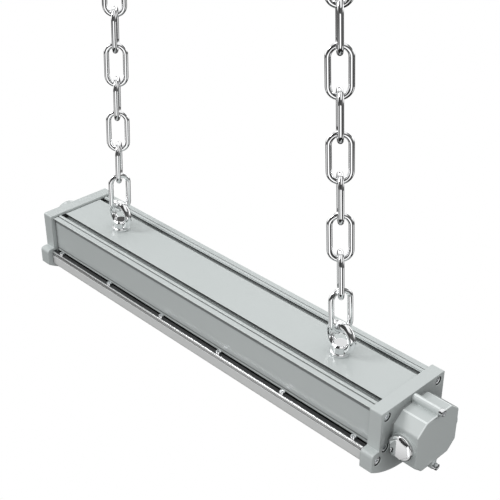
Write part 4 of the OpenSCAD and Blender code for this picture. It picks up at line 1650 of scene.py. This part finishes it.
@dataclass
class Studio:
    """Camera, floor, light and surroundings. Metres and degrees."""

    camera_place: tuple[float, float, float] = (0.85084, -0.77708, 0.73841)
    azimuth: float = 45.641
    elevation: float = 30.883
    focal_length: float = 74.26
    far_clip: float = 200
    floor_drop: float = 2.2
    floor_reach: float = 150
    sky: float = 1.02
    ground: float = 0.17
    horizon: tuple[float, float] = (-0.3, 0.7)
    shades: tuple[tuple[float, float], ...] = ((80, 0.93), (-75, 0.75))
    lights: tuple[SoftLight, ...] = (
        SoftLight("key", (-1.3, -1.5, 1.7), (0, 0, 0), 0.8, 18),
        SoftLight("fill", (0.95, -0.8, -0.25), (0.33, 0, -0.05), 0.3, 1.0, mirrored=False),
    )
    mirror_bands: tuple[tuple[float, float, float, float], ...] = (
        (-0.70, -0.60, 0.02, 0.12), (-0.2, 0.3, 0.0, 0.7), (0.6, 0.85, 0.0, 0.25),
    )
    cards: tuple[Card, ...] = (
        Card(180, 70, 1.5, -0.12, 0.35, 20),
        Card(0, 60, 0.10, -0.10, 0.5),
        Card(-50, 30, 0.05, -0.02, 0.93),
        Card(-8, 20, 1.3, -0.64, -0.2, 3),
        Card(36, 12, 0.05, -0.66, -0.18, 3),
        Card(-46, 9, 0.07, -0.66, -0.18, 3),
        Card(-82, 8, 0.9, -0.64, -0.38, 12),
        Card(85, 9, 1.2, -0.62, -0.4),
        Card(92, 24, 0.15, 0.3, 0.7),
        Card(-168, 8, 0.1, 0.25, 0.54, 8),
        Card(-161, 7, 5.0, 0.64, 0.78, 4),
    )

    def build(self, datum: Datum) -> None:
        """Sets up the whole stage, with plain tones as a product photograph has.

        Args:
            datum: The lamp's place.
        """
        bpy.context.scene.view_settings.view_transform = "Standard"
        self.make_camera(datum)
        self.make_floor(datum)
        for light in self.lights:
            self.make_light(datum, light)
        self.make_surroundings()

    def make_camera(self, datum: Datum) -> None:
        """Puts the camera where the photograph was taken from.

        Args:
            datum: The lamp's place.
        """
        camera = linked("camera", bpy.data.cameras.new("camera"))
        camera.location = Vector(self.camera_place) + Vector((0, 0, datum.top * MM))
        camera.rotation_euler = (math.radians(90 - self.elevation), 0, math.radians(self.azimuth))
        camera.data.lens = self.focal_length
        camera.data.clip_end = self.far_clip
        bpy.context.scene.camera = camera

    def make_floor(self, datum: Datum) -> None:
        """Lays the pale floor far below the lamp. Only the camera sees it.

        Args:
            datum: The lamp's place.
        """
        shape = bmesh.new()
        bmesh.ops.create_grid(shape, x_segments=1, y_segments=1, size=self.floor_reach)
        mesh = bpy.data.meshes.new("floor")
        shape.to_mesh(mesh)
        floor = linked("floor", mesh)
        floor.location.z = datum.top * MM - self.floor_drop
        material = bpy.data.materials.new("pale_floor")
        material.use_nodes = True
        graph = Graph(material.node_tree)
        glow = graph.node("ShaderNodeEmission", inputs={"Color": (1, 1, 1, 1), "Strength": 1.0})
        graph.node("ShaderNodeOutputMaterial", inputs={"Surface": glow.outputs[0]})
        mesh.materials.append(material)
        floor.visible_diffuse = floor.visible_glossy = floor.visible_transmission = False
        floor.visible_shadow = False

    def make_light(self, datum: Datum, light: SoftLight) -> None:
        """Hangs a soft square light.

        Args:
            datum: The lamp's place.
            light: The light's measures.
        """
        data = bpy.data.lights.new(light.name, "AREA")
        data.shape = "SQUARE"
        data.size = light.size
        data.energy = light.power
        lamp = linked(light.name, data)
        place = Vector(light.place)
        lamp.location = place + Vector((0, 0, datum.top * MM))
        lamp.rotation_euler = (Vector(light.aim) - place).to_track_quat("-Z", "Y").to_euler()
        lamp.visible_glossy = light.mirrored

    def make_surroundings(self) -> None:
        """Grades the light by height, and stands the cards round the lamp for reflections."""
        world = bpy.data.worlds.new("studio")
        bpy.context.scene.world = world
        world.use_nodes = True
        graph = Graph(world.node_tree)
        direction = graph.node("ShaderNodeTexCoord").outputs["Generated"]
        axes = graph.node("ShaderNodeSeparateXYZ", inputs={0: direction})
        x, y, z = (Value(graph, axes.outputs[k]) for k in range(3))
        flat = (x * x + y * y + 1e-6).root()
        ambient = z.ramp(*self.horizon, self.ground, self.sky)
        for side, level in self.shades:
            turn = math.radians(side + self.azimuth - 90)
            ambient = ambient * (x * math.cos(turn) + y * math.sin(turn)).ramp(0.0, 0.9, 1.0, level)
        first, *others = self.mirror_bands
        mirror = z.ramp(*first)
        for band in others:
            mirror = mirror + z.ramp(*band)
        for card in self.cards:
            mirror = self._with_card(card, mirror, (x / flat, y / flat), z)
        rays = graph.node("ShaderNodeLightPath")
        shiny = Value(graph, rays.outputs["Is Glossy Ray"])
        seen = Value(graph, rays.outputs["Is Camera Ray"])
        light = ambient * (1 - shiny) + mirror * shiny
        light = light * (1 - seen) + seen
        background = graph.node("ShaderNodeBackground", inputs={"Color": (1, 1, 1, 1), "Strength": light})
        graph.node("ShaderNodeOutputWorld", inputs={"Surface": background.outputs[0]})

    def _with_card(self, card: Card, level: Value, facing: tuple[Value, Value], z: Value) -> Value:
        """Lays a card over what reflections see.

        Args:
            card: The card.
            level: What they see so far.
            facing: The level direction's two parts.
            z: The direction's height.

        Returns:
            The new level.
        """
        toward = math.radians(card.azimuth + self.azimuth - 90)
        closeness = facing[0] * math.cos(toward) + facing[1] * math.sin(toward)
        outer, inner = (math.cos(math.radians(card.half_width + d)) for d in (card.edge, 0))
        mask = closeness.ramp(outer, inner)
        if card.low > -1:
            mask = mask * z.ramp(card.low - card.fade, card.low)
        if card.high < 1:
            mask = mask * z.ramp(card.high, card.high + card.fade, 1.0, 0.0)
        return level * (1 - mask) + mask * card.level


def main() -> None:
    """Builds the lamp's parts in order."""
    logging.basicConfig(level=logging.INFO, format="%(message)s")
    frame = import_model()
    datum = Datum.read()
    Studio().build(datum)
    bench = Bench(frame, datum)
    parts = (
        Housing(), EndPlate(), LensUnit(), EdgeStrips(), TerminalBox(), LeftCap(), LiftingEyes(), Chains(),
        InnerParts(),
    )
    for part in parts:
        LOG.info("building %s", type(part).__name__)
        part.build(bench)


if __name__ == "__main__":
    main()
